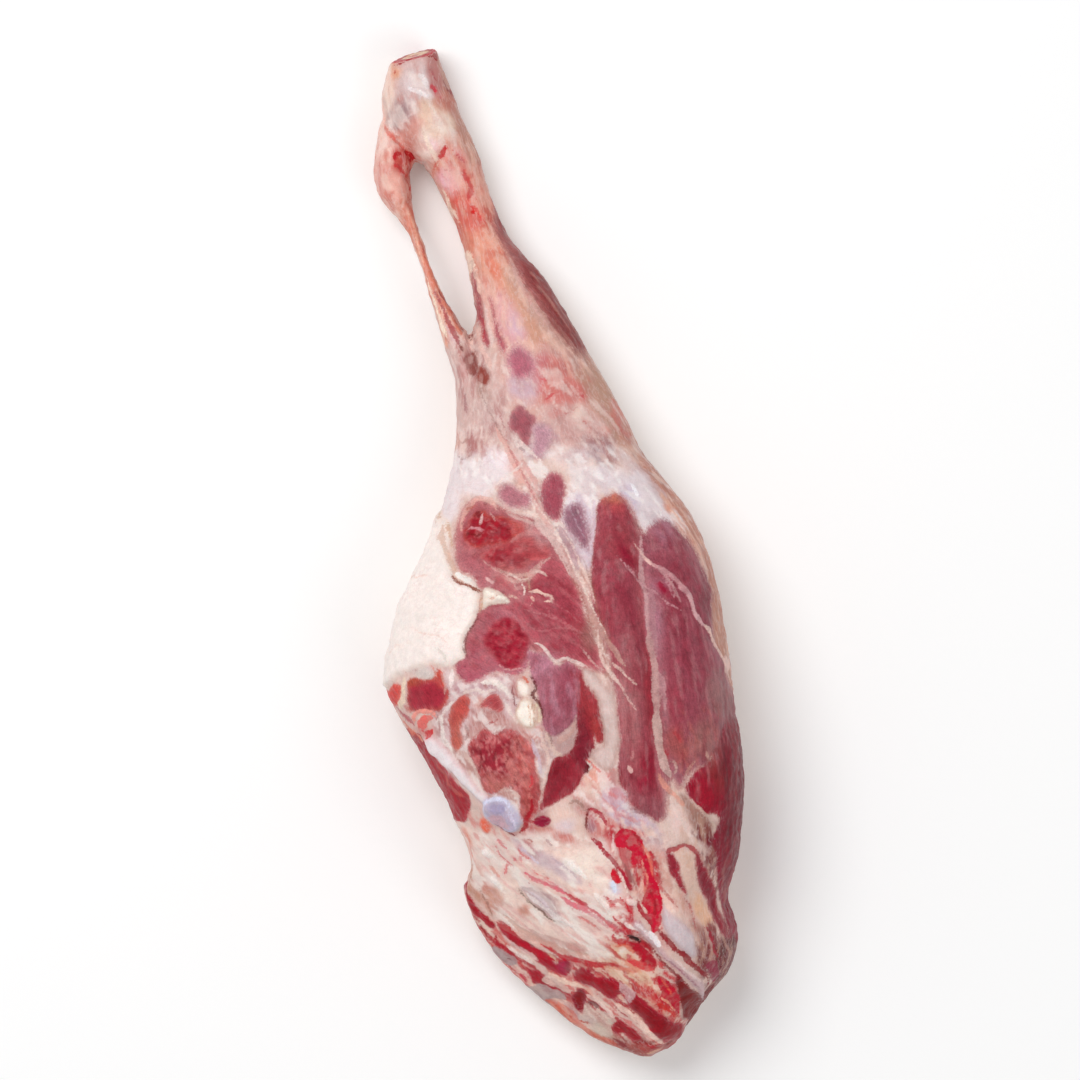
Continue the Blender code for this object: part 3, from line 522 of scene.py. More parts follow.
# Streaks along the fibres: (layer, tone, strength, heading, length, width, low, high, outline).
# They come from a noise of about -1 to 1, as long and wide as said: nothing shows below low, and the full
# strength above high.
STREAKS = (
    (PALE, (196, 124, 112), 0.45, 160, 14, 4, 0.1, 0.7,
     "-90 250, -58 254, -40 205, -50 190, -70 195, -95 200"),
    (PALE, (244, 226, 218), 0.5, 150, 12, 3.5, 0.1, 0.7,
     "-90 250, -62 250, -50 205, -58 195, -72 200, -95 210"),
    (PALE, (204, 100, 84), 0.5, 160, 22, 3, 0.1, 0.6,
     "-66 195, -40 205, -28 165, 0 120, -20 125, -40 135, -52 165"),
    (PALE, (240, 196, 178), 0.5, 160, 20, 3, 0.1, 0.6,
     "-66 195, -40 205, -28 165, 20 95, -10 90, -40 110, -52 165"),
    (PALE, (240, 200, 186), 0.7, 0, 8, 5, 0.0, 0.5, "-94 210, -80 205, -76 170, -92 165, -99 190"),
    (PALE, (206, 104, 90), 0.6, 10, 8, 4, 0.1, 0.6, "-94 210, -74 205, -72 165, -92 165, -99 190"),
    (PALE, (250, 224, 206), 0.6, 158, 26, 2, 0.0, 0.5,
     "-76 166, -68 166, -50 112, -42 104, -54 96, -64 112"),
    (PALE, (172, 84, 84), 0.6, 158, 24, 2, 0.1, 0.5, "-72 162, -66 160, -46 108, -42 98, -56 98, -64 122"),
    (PALE, (186, 132, 128), 0.5, 150, 16, 5, 0.0, 0.6, "-24 100, 22 94, 46 50, 20 40, -6 52, -24 74"),
    (PALE, (232, 204, 196), 0.6, 145, 12, 3, 0.1, 0.6, "-24 100, 22 94, 46 50, 20 40, -6 52, -30 74"),
    (PALE, (206, 92, 88), 0.3, 150, 5, 4, 0.0, 0.9, "-12 94, 14 90, 28 72, 34 58, 18 56, -8 70"),
    (PALE, (180, 118, 116), 0.55, 172, 18, 3, 0.1, 0.6, "-56 108, -40 106, -22 66, -34 46, -56 44"),
    (PALE, (238, 214, 206), 0.6, 168, 16, 2.5, 0.1, 0.6, "-56 108, -30 100, -10 60, -24 46, -56 44"),
    (PALE, (206, 184, 188), 0.5, 150, 12, 4, 0.1, 0.7,
     "-60 46, -20 52, 20 52, 44 46, 66 12, 40 4, 12 -8, -30 28"),
    (PALE, (248, 240, 238), 0.6, 145, 10, 3, 0.1, 0.6,
     "-60 46, -20 52, 20 52, 44 46, 66 12, 40 4, 12 0, -30 28"),
    (PALE, (164, 100, 84), 0.5, 150, 14, 3, 0.1, 0.6,
     "34 62, 60 38, 80 8, 92 -50, 92 -84, 76 -40, 66 6, 44 36"),
    (PALE, (234, 190, 168), 0.5, 155, 12, 3, 0.1, 0.6,
     "34 62, 60 38, 80 8, 92 -50, 92 -84, 76 -40, 60 6, 44 36"),
    (PALE, (244, 222, 212), 0.4, 20, 10, 6, 0.2, 0.8, "-66 20, -54 14, -40 -22, -46 -50, -90 -62, -98 -30"),
    (PALE, (160, 100, 88), 0.6, 152, 16, 1.8, 0.1, 0.6,
     "-20 40, -2 20, 20 -24, 38 -58, 28 -70, 10 -40, -6 2, -20 26"),
    (PALE, (246, 226, 216), 0.7, 152, 18, 2, 0.0, 0.5,
     "-22 44, 2 18, 20 -24, 38 -58, 28 -70, 10 -40, -6 2, -20 26"),
    (PALE, (178, 120, 116), 0.7, 120, 8, 3, 0.05, 0.5,
     "-58 -64, -20 -62, -8 -88, -10 -126, -42 -122, -60 -94"),
    (PALE, (238, 222, 218), 0.7, 130, 8, 2.5, 0.0, 0.5,
     "-58 -62, -20 -62, -4 -88, -4 -126, -42 -122, -60 -94"),
    (PALE, (222, 110, 104), 0.5, 150, 8, 4, 0.1, 0.6, "-56 -116, -36 -130, -16 -140, -30 -150, -48 -140"),
    (PALE, (214, 120, 118), 0.6, 130, 7, 2.5, 0.1, 0.5,
     "10 -104, 32 -106, 40 -130, 52 -142, 28 -140, 8 -126"),
    (PALE, (244, 228, 224), 0.6, 140, 8, 2.5, 0.05, 0.5,
     "10 -104, 32 -106, 40 -130, 54 -146, 28 -140, 8 -126"),
    (PALE, (228, 140, 140), 0.4, 125, 12, 3, 0.25, 0.8,
     "-46 -142, 12 -142, 30 -160, 34 -200, -10 -198, -44 -166"),
    # white strands of fat, made brighter as painted highlights
    (PALE, (252, 240, 232), 0.75, 125, 12, 5, 0.0, 0.5,
     "-46 -142, 20 -142, 30 -160, 34 -200, -10 -198, -44 -166"),
    (PALE, (214, 172, 166), 0.35, 125, 10, 3, 0.2, 0.8,
     "-46 -142, 20 -142, 30 -160, 34 -200, -10 -198, -44 -166"),
    (PALE, (244, 212, 194), 0.7, 128, 14, 2.6, 0.05, 0.5,
     "-50 -172, -30 -184, 0 -202, 40 -200, 62 -232, 54 -250, 20 -244, -24 -214, -44 -190"),
    (PALE, (176, 26, 48), 0.9, 128, 15, 2.6, 0.08, 0.32,
     "-52 -170, -30 -187, 0 -205, 28 -206, 60 -230, 56 -256, 40 -250, 8 -227, -22 -213, -46 -190"),
    (PALE, (206, 84, 82), 0.7, 128, 10, 2.0, 0.1, 0.4,
     "-52 -170, -30 -187, 0 -204, 28 -204, 60 -230, 56 -256, 40 -250, 8 -227, -22 -213, -46 -190"),
    (PALE, (242, 206, 192), 0.7, 158, 9, 2.2, 0.05, 0.45,
     "18 -126, 40 -132, 56 -148, 60 -186, 40 -200, 28 -180, 36 -166, 24 -146"),
    (PALE, (190, 30, 52), 0.85, 158, 10, 2.4, 0.05, 0.35,
     "22 -132, 32 -134, 48 -148, 54 -186, 40 -200, 30 -180, 36 -166, 26 -148"),
    (PALE, (196, 26, 48), 0.85, 140, 7, 2.6, 0.0, 0.3,
     "26 -188, 40 -190, 60 -212, 64 -234, 52 -234, 40 -212, 26 -200"),
    (PALE, (118, 26, 42), 0.85, 162, 16, 2.4, -0.1, 0.3,
     "66 -136, 80 -138, 98 -186, 96 -214, 76 -220, 68 -196, 78 -176"),
    (PALE, (216, 172, 150), 0.4, 160, 14, 2.4, 0.1, 0.6,
     "50 -122, 66 -120, 90 -190, 90 -212, 70 -212, 62 -180, 52 -150"),
    (PALE, (144, 52, 48), 0.75, 120, 6, 3, 0.0, 0.5,
     "22 -244, 40 -242, 60 -240, 66 -250, 46 -262, 22 -254"),
    (LEAN, (182, 124, 128), 0.40, 172, 22, 2.6, 0.15, 0.8,
     "18 30, 60 16, 90 -60, 80 -106, 54 -134, 34 -130, 18 -40"),
    (LEAN, (134, 40, 56), 0.45, 174, 22, 3.6, 0.15, 0.8,
     "18 30, 60 16, 90 -60, 80 -106, 54 -134, 34 -130, 18 -40"),
    (LEAN, (192, 116, 120), 0.35, 125, 16, 2.2, 0.2, 0.8, "-50 26, 4 8, 28 -60, -14 -50, -50 -60, -40 -24"),
    (LEAN, (140, 34, 48), 0.45, 140, 9, 4, 0.15, 0.8, "-50 26, 4 8, 28 -60, -14 -50, -50 -60, -40 -24"),
    (LEAN, (200, 120, 120), 0.4, 110, 3.4, 2.2, 0.2, 0.7, "-46 20, -14 14, -8 -6, -30 -8, -50 4"),
    (LEAN, (196, 90, 98), 0.35, 100, 4, 2, 0.15, 0.6, "-38 -32, -14 -34, -12 -58, -38 -58"),
    (LEAN, (204, 116, 116), 0.6, 160, 6, 1.6, 0.05, 0.5,
     "-46 -94, -28 -88, -12 -90, -6 -120, -16 -134, -36 -122"),
    (LEAN, (212, 132, 132), 0.65, 150, 3.2, 1.5, 0.15, 0.5,
     "-44 -96, -28 -89, -14 -92, -16 -118, -34 -118"),
    (LEAN, (206, 128, 122), 0.6, 165, 8, 1.6, 0.1, 0.5, "-28 -96, -12 -94, -8 -122, -16 -134, -24 -118"),
    (LEAN, (132, 30, 48), 0.5, 140, 4.5, 2.4, 0.1, 0.6, "-46 -94, -28 -88, -14 -90, -14 -112, -36 -112"),
    (LEAN, (196, 140, 156), 0.4, 172, 14, 2.4, 0.1, 0.7, "-16 -48, 12 -60, 10 -84, -8 -92"),
    (LEAN, (184, 100, 94), 0.4, 160, 8, 2.2, 0.1, 0.6, "54 -84, 78 -80, 78 -104, 58 -114"),
    (LEAN, (88, 30, 42), 0.5, 176, 24, 2.4, 0.1, 0.7, "80 -84, 98 -84, 98 -186, 86 -160, 80 -140"),
    (LEAN, (160, 66, 72), 0.4, 176, 26, 2, 0.15, 0.7, "78 -84, 98 -84, 98 -186, 86 -160, 78 -140"),
    (LEAN, (112, 50, 50), 0.5, 146, 18, 3, 0.1, 0.7, "-34 176, -26 160, 22 90, 30 96, 0 140"),
    (LEAN, (196, 142, 130), 0.5, 146, 18, 2.6, 0.15, 0.7, "-34 176, -26 160, 12 92, 22 96, -6 140"),
)

# Zones: (layer, tone at the rim, tone inside, depth of the change, rise, lumps, heading of the fibres,
# softness of the rim, outline). Lean zones are muscles, and pale ones lie over them.
ZONES = (
    # beds between the muscles
    (LEAN, (190, 138, 136), (172, 106, 112), 5, 0.3, 0.1, 170, 2.4,
     "20 22, 27 29, 34 26, 40 14, 44 9, 50 14, 57 13, 65 5, 71 -7, 77 -20, 77 -34, 80 -48, 85 -64, 88 -80,"
     "84 -92, 78 -104, 66 -110, 60 -118, 56 -114, 53 -132, 44 -131, 36 -127, 32 -112, 31 -95, 30 -78,"
     "28 -64, 24 -50, 19 -36, 16 -20, 17 0, 18 12"),
    (LEAN, (196, 130, 128), (176, 98, 104), 5, 0.2, 0.2, 140, 2.2,
     "-52 6, -49 18, -42 26, -32 24, -22 19, -13 17, -6 12, 0 4, 5 -7, 10 -20, 15 -34, 20 -48, 25 -60,"
     "18 -60, 12 -58, 4 -56, -4 -54, -14 -50, -15 -58, -24 -62, -30 -60, -38 -64, -46 -65, -51 -57,"
     "-47 -44, -41 -30, -38 -20, -44 -12, -50 -10"),
    # shin
    # the shin band: the muscle's own red, deepened inside as painted shade on the side away from the light
    (LEAN, (172, 108, 104), (146, 66, 66), 5, 0.4, 0.1, 146, 2.4,
     "-33 178, -32 165, -30 157, -25 148, -20 138, -15 130, -10 122, -5 114, 1 107, 7 101, 13 96, 22 88,"
     "30 90, 18 112, 4 132, -8 148, -20 162, -27 176"),
    (LEAN, (186, 106, 108), (164, 74, 86), 2.5, -0.5, 0.1, 164, 1.9,
     "-50.5 163, -48.5 160, -44.5 150, -41.5 142, -39.5 132, -37.5 122, -36 112, -33.5 104, -35 101,"
     "-37.5 105, -39 112, -40.5 120, -42 134, -45.5 148, -49 158"),
    (LEAN, (196, 122, 124), (176, 88, 98), 2, -0.3, 0.1, 164, 2.2,
     "-34 127, -32.5 126, -30 115, -27 106, -25.5 101, -28 99, -30 104, -31.5 109, -32.5 116"),
    (LEAN, (178, 112, 116), (158, 82, 92), 3, -0.5, 0.2, 150, 1.4,
     "-25 64, -23 69, -18.5 72, -14 69, -10.5 66, -11 62, -13.5 57, -14 52, -17 54, -20 58, -24 60"),
    (LEAN, (198, 156, 164), (188, 138, 150), 3, -0.2, 0.1, 150, 3.0,
     "-13 62, -8 63, -3 60, -3 54, -6 49, -10 47, -13 50, -12 56"),
    (LEAN, (196, 132, 142), (176, 96, 112), 4, -0.3, 0.1, 150, 3.0,
     "-25 99, -20 103, -14 100, -10.5 94, -12 88, -17 86, -22 87, -25 92"),
    # knee
    (LEAN, (196, 140, 146), (180, 114, 124), 3, 0.2, 0.1, 120, 2.6,
     "-29 31, -26 33.5, -21 32, -18 30, -14 29, -13 26, -14 22, -20 21, -25 22, -29 26"),
    (LEAN, (182, 108, 116), (162, 76, 90), 3, 0.3, 0.1, 165, 2.2,
     "-7 35, -4 39, 0 39, 3 36, 4 30, 3 22, 1 15, -3 15, -7 20, -9 26"),
    (LEAN, (168, 126, 138), (144, 94, 110), 3, 0.2, 0.1, 162, 2.4,
     "3 20, 6 22, 9 25, 13 22, 15 14, 16 6, 15 0, 11 3, 7 8, 3 13"),
    # outer thigh
    (LEAN, (164, 100, 110), (150, 74, 86), 7, 1.5, 0.1, 165, 2.8,
     "41.5 5, 44 11, 49 15, 54 16, 59 12, 65 5, 69 -3, 74 -12, 77 -22, 77 -34, 78 -44, 82 -55, 85 -66,"
     "87 -76, 83 -86, 80 -94, 76 -103, 70 -106, 66 -108, 61 -116, 58 -112, 55 -104, 52 -92, 51 -78, 50 -64,"
     "48 -50, 46 -34, 44 -18, 42 -4"),
    (LEAN, (170, 86, 94), (152, 68, 80), 6, 2.0, 0.1, 175, 1.3,
     "21 25, 25 28, 30 28, 34 24, 37 16, 39.5 6, 40.5 -5, 41 -18, 42.5 -32, 44 -46, 45.5 -60, 46.5 -75,"
     "47 -90, 48.5 -104, 50.5 -115, 51.5 -125, 49.5 -134, 43 -129, 36 -125.5, 34 -120, 30 -113, 30.5 -97,"
     "29.5 -80, 28 -66, 26 -50, 22 -38, 18 -26, 16.5 -15, 17.5 0, 18.5 14"),
    (LEAN, (150, 34, 56), (146, 28, 52), 6, 1.0, 0.3, 172, 1.4,
     "63 -117, 66 -112, 69 -108, 74 -105, 77 -100, 81 -90, 85 -81, 90 -72, 99 -90, 101 -130, 100 -165,"
     "98 -196, 88 -194, 83 -184, 81 -168, 79.5 -156, 78 -149, 77 -143, 79 -137, 80 -132, 77 -130.5,"
     "73 -130.5, 68 -126, 63.5 -121"),
    # inner thigh
    (LEAN, (178, 86, 96), (162, 68, 80), 6, 0.7, 0.25, 140, 1.6,
     "-5 -5, 0 -5, 5 -11, 9 -20, 12 -28, 14 -40, 19 -50, 20 -58, 15 -57, 8 -54, 0 -53, -7 -48, -13 -43,"
     "-20 -34, -28 -28, -34 -30, -28 -27, -20 -26, -14 -22, -12 -14"),
    (LEAN, (182, 106, 116), (172, 90, 102), 4, 0.5, 0.2, 120, 1.8,
     "-36 -30, -40 -36, -44 -43, -45 -50, -50 -56, -50 -61, -45 -65, -38 -64, -30 -60, -24 -62, -17 -60,"
     "-14 -54, -14 -46, -18 -36, -26 -29"),
    (LEAN, (168, 58, 72), (158, 32, 52), 3, -0.5, 0.6, 110, 2.0,
     "-37 -45, -34 -38, -28 -33.5, -22 -34, -17 -39, -14 -46, -16 -53, -21 -59, -27 -57, -33 -52"),
    (LEAN, (188, 116, 120), (178, 102, 109), 4, 0.2, 0.2, 130, 1.8,
     "-51 5, -46 2, -38 0, -33 -6, -30 -12, -35 -19, -40 -18, -42 -13, -48 -10, -50 -5"),
    (LEAN, (184, 84, 78), (164, 36, 48), 3, 0.4, 0.9, 90, 1.0,
     "-47 9, -45 14, -42 18, -38 20.5, -33 17.5, -27 17.5, -22 15, -18 11, -21 7, -24 4, -30 3, -35 3,"
     "-40 1.5, -45 4"),
    (LEAN, (188, 90, 92), (168, 58, 66), 4, 0.5, 0.5, 80, 1.7,
     "-37 1, -28 3, -20 6, -12 6.5, -6 4, -4 0, -6 -4, -12 -5, -16 -8, -22 -10, -28 -9.5, -31 -6, -38 -3"),
    (LEAN, (176, 110, 124), (160, 88, 102), 5, 1.6, 0.1, 172, 1.4,
     "-15 -50, -11 -50, -6 -52, 0 -57, 5 -55, 12 -60, 11 -72, 9 -82, 4 -89, -1 -92, -5 -90, -8 -84,"
     "-10 -70, -14 -60"),
    (LEAN, (160, 58, 66), (146, 44, 56), 3, -0.6, 0.4, 170, 1.1,
     "11 -61, 14 -64, 18 -68, 20 -78, 22.5 -88, 23 -94, 20 -95, 18 -92, 18 -98, 15 -104, 17.5 -107,"
     "14 -109, 12 -113, 8 -119, 0 -124, -6 -127, -10 -129, -7 -121, -5 -112, -3.5 -105, -1 -102, 4 -101,"
     "7 -98, 9 -90, 9 -76"),
    # left edge and hip
    (LEAN, (222, 96, 82), (212, 66, 62), 3, 0.2, 0.3, 140, 1.1,
     "-92 -68, -86 -66.5, -82 -65, -78 -66, -77 -70, -78 -75, -80 -77, -86 -76"),
    (LEAN, (190, 88, 80), (168, 52, 66), 3, 0.2, 0.4, 150, 1.3,
     "-75 -68, -74 -64, -70 -63, -66 -64, -61 -62, -60 -58, -57 -60, -56.5 -66, -54 -70, -55 -76, -59 -80,"
     "-64 -79, -70 -80, -75 -78"),
    (LEAN, (196, 108, 98), (184, 80, 76), 3, 0.2, 0.4, 150, 1.2,
     "-54.5 -83, -52 -76, -48 -72, -44 -71.5, -43 -76, -45 -82, -48 -88, -47 -95, -50 -99, -53 -95,"
     "-54 -88"),
    (LEAN, (192, 104, 100), (174, 72, 76), 2, 0.0, 0.5, 60, 1.3,
     "-39 -77, -35 -72, -31 -71, -27 -75, -27 -79, -31 -80, -35 -78"),
    (LEAN, (180, 84, 84), (156, 48, 60), 6, 0.9, 1.0, 150, 1.2,
     "-45 -97, -41 -92, -36 -88, -31 -91, -27 -88, -21 -88, -17 -92, -13 -96, -11 -106, -9 -112, -8 -120,"
     "-10 -128, -15 -134, -19 -130, -19 -121, -24 -117, -28 -118, -32 -121, -37 -117, -40 -108, -43 -102"),
    (LEAN, (184, 50, 60), (164, 28, 46), 2, -0.4, 0.3, 152, 1.0,
     "-70 -92, -65 -97, -58 -105, -51 -114, -44.5 -122, -43 -126, -44 -131, -48 -136, -56 -138, -66 -118,"
     "-78 -98"),
    (LEAN, (150, 14, 62), (144, 4, 58), 2, -0.4, 0.0, 90, 0.8,
     "-13 -133.5, -9 -131, -5 -131.5, -3 -134, -6 -136.5, -11 -136"),
    # cut face of the chump
    (LEAN, (178, 30, 50), (166, 20, 44), 2, 0.6, 0.3, 118, 0.9,
     "-48 -171.5, -44 -171.5, -41 -177.5, -37 -181, -33 -184, -31 -187.5, -34 -188.5, -38 -184.5,"
     "-42 -182, -46 -178"),
    (LEAN, (180, 24, 56), (168, 18, 48), 2, 0.6, 0.3, 122, 0.9,
     "-30 -185, -25 -187.5, -20 -192.5, -15 -196, -10 -198, -6 -201, -3 -204, 0 -206, 1 -203, 6 -204.5,"
     "7 -210, 4 -212, -3 -209.5, -8 -206, -13 -202.5, -18 -199.5, -22 -197, -27 -192, -29.5 -188.5"),
    (LEAN, (172, 34, 54), (160, 22, 44), 2, 1.2, 0.4, 108, 0.9,
     "8 -211, 12 -208, 16 -209, 20 -212, 27 -213, 32 -216, 33 -219, 30 -222, 27 -223, 23 -221, 19 -217.5,"
     "13 -216.5, 9 -215"),
    (LEAN, (178, 34, 54), (166, 24, 46), 1.5, 0.7, 0.2, 118, 0.9,
     "-16 -208.5, -13 -209, -9 -209.5, -6 -213, -1 -217, 5 -220, 0 -220, -5 -217.5, -10 -217, -13 -216,"
     "-14 -212"),
    (LEAN, (156, 28, 50), (138, 14, 38), 2, -0.8, 0.3, 100, 0.9,
     "8 -221, 12 -219, 14 -222, 13.5 -227, 12 -231, 9 -229, 7.5 -225"),
    (LEAN, (168, 34, 52), (150, 22, 42), 2, 1.4, 0.3, 133, 0.9,
     "35 -226, 37 -222, 40 -221, 45 -226, 51 -231, 56 -234, 60 -240, 58 -246, 54 -245, 49 -242, 44 -236,"
     "40 -231"),
    (LEAN, (176, 32, 50), (158, 22, 42), 1.5, 0.6, 0.3, 120, 0.9,
     "26.5 -238, 29 -235, 32 -234.5, 36 -237, 41.5 -242.5, 38 -244.5, 33 -241, 28.5 -241"),
    (LEAN, (168, 60, 70), (154, 44, 58), 2, -1.0, 0.3, 160, 1.1,
     "53.5 -150, 57 -150, 60 -156, 62 -163, 64.5 -171, 61.5 -168, 58.5 -163, 56 -160"),
    (LEAN, (160, 54, 64), (140, 40, 54), 2.5, -0.8, 0.4, 160, 1.2,
     "68 -150, 70 -151, 74 -158, 78 -165, 79.5 -171, 80.5 -179, 84 -188, 88 -196, 82 -191, 77.5 -183,"
     "74 -174, 71 -168, 69 -160"),
    # dark maroon muscle at the lower right edge: its own deep red, darkened further as painted shade on the
    # side away from the light
    (LEAN, (132, 10, 34), (112, 4, 26), 3, -0.5, 0.4, 140, 1.1,
     "59 -212, 64 -216, 68 -219.5, 72 -219.5, 76 -215, 80 -213, 84 -212, 80 -222, 72 -234, 64 -242,"
     "61 -237, 62 -228, 60 -220"),
    # pale forms that stand proud
    (PALE, (240, 222, 213), (247, 234, 228), 4, 1.6, 0.4, 0, 0.8,
     "-66 24, -58 18, -54 14, -54 6, -54 -2, -52 -9, -49 -13.5, -43 -14, -40 -18, -39 -21, -39 -28,"
     "-41 -34, -45 -41, -46 -48, -46 -53, -50 -55, -54 -57, -62 -56, -68 -58, -76 -61, -86 -64, -99 -62,"
     "-99 -30, -86 -5, -76 12"),
    (PALE, (226, 204, 190), (242, 228, 216), 2, 1.2, 1.4, 0, 0.9,
     "-37 -19, -33 -18.5, -28 -21, -24 -25, -28 -26.5, -34 -27, -38 -29"),
    (PALE, (200, 164, 156), (216, 190, 184), 3, 0.8, 0.5, 0, 1.5,
     "12 -59, 18 -60, 22 -66, 27 -70, 29 -76, 30 -85, 31 -93, 30 -100, 28 -106, 24 -109, 20 -106, 16 -101,"
     "19 -97, 23 -96, 23 -90, 21 -82, 19 -73, 16 -69, 13 -65"),
    (PALE, (226, 188, 172), (246, 232, 222), 1.5, 1.6, 0.3, 0, 0.8,
     "-20 -64, -17 -64, -14 -67, -13 -71, -16 -73, -20 -70"),
    (PALE, (228, 192, 172), (249, 238, 226), 2, 2.6, 0.3, 0, 0.8,
     "-20 -76, -17 -73, -13 -74, -10.5 -78, -9.5 -83, -12 -87, -16 -87, -20 -84, -21 -80"),
    (PALE, (218, 184, 186), (238, 226, 228), 2, 1.8, 0.3, 0, 1.0,
     "-66 -93, -62 -92, -56 -97, -50 -104, -44 -111, -38 -119, -34 -122, -36 -126, -41 -122, -48 -115,"
     "-56 -107, -62 -101, -66 -96"),
    (PALE, (204, 202, 222), (190, 176, 198), 3, 2.0, 1.3, 0, 0.9,
     "-37 -127, -35 -123.5, -31 -122, -26 -122.5, -22 -126, -19 -130, -18 -135, -20 -138.5, -25 -139.5,"
     "-29 -137, -33 -134, -36 -131"),
    (PALE, (232, 116, 92), (236, 110, 84), 2, 1.2, 0.2, 0, 0.9,
     "-38 -133, -36 -132, -34 -135, -33 -138, -36 -140, -38 -137"),
    (PALE, (204, 178, 180), (208, 192, 196), 3, 1.2, 0.2, 0, 1.1,
     "52 -176, 56 -180, 60 -182, 64 -186, 67 -190, 69 -196, 69 -201, 66 -203, 61 -198, 55 -191, 52 -186"),
    (PALE, (196, 158, 162), (212, 182, 184), 2, 1.6, 0.3, 0, 0.9,
     "38 -183, 42 -184, 46 -190, 50 -195, 55 -201, 62 -208, 70 -214, 76 -218, 72 -220, 65 -214, 58 -207,"
     "50 -200, 43 -192, 38 -187"),
)  # fmt: skip

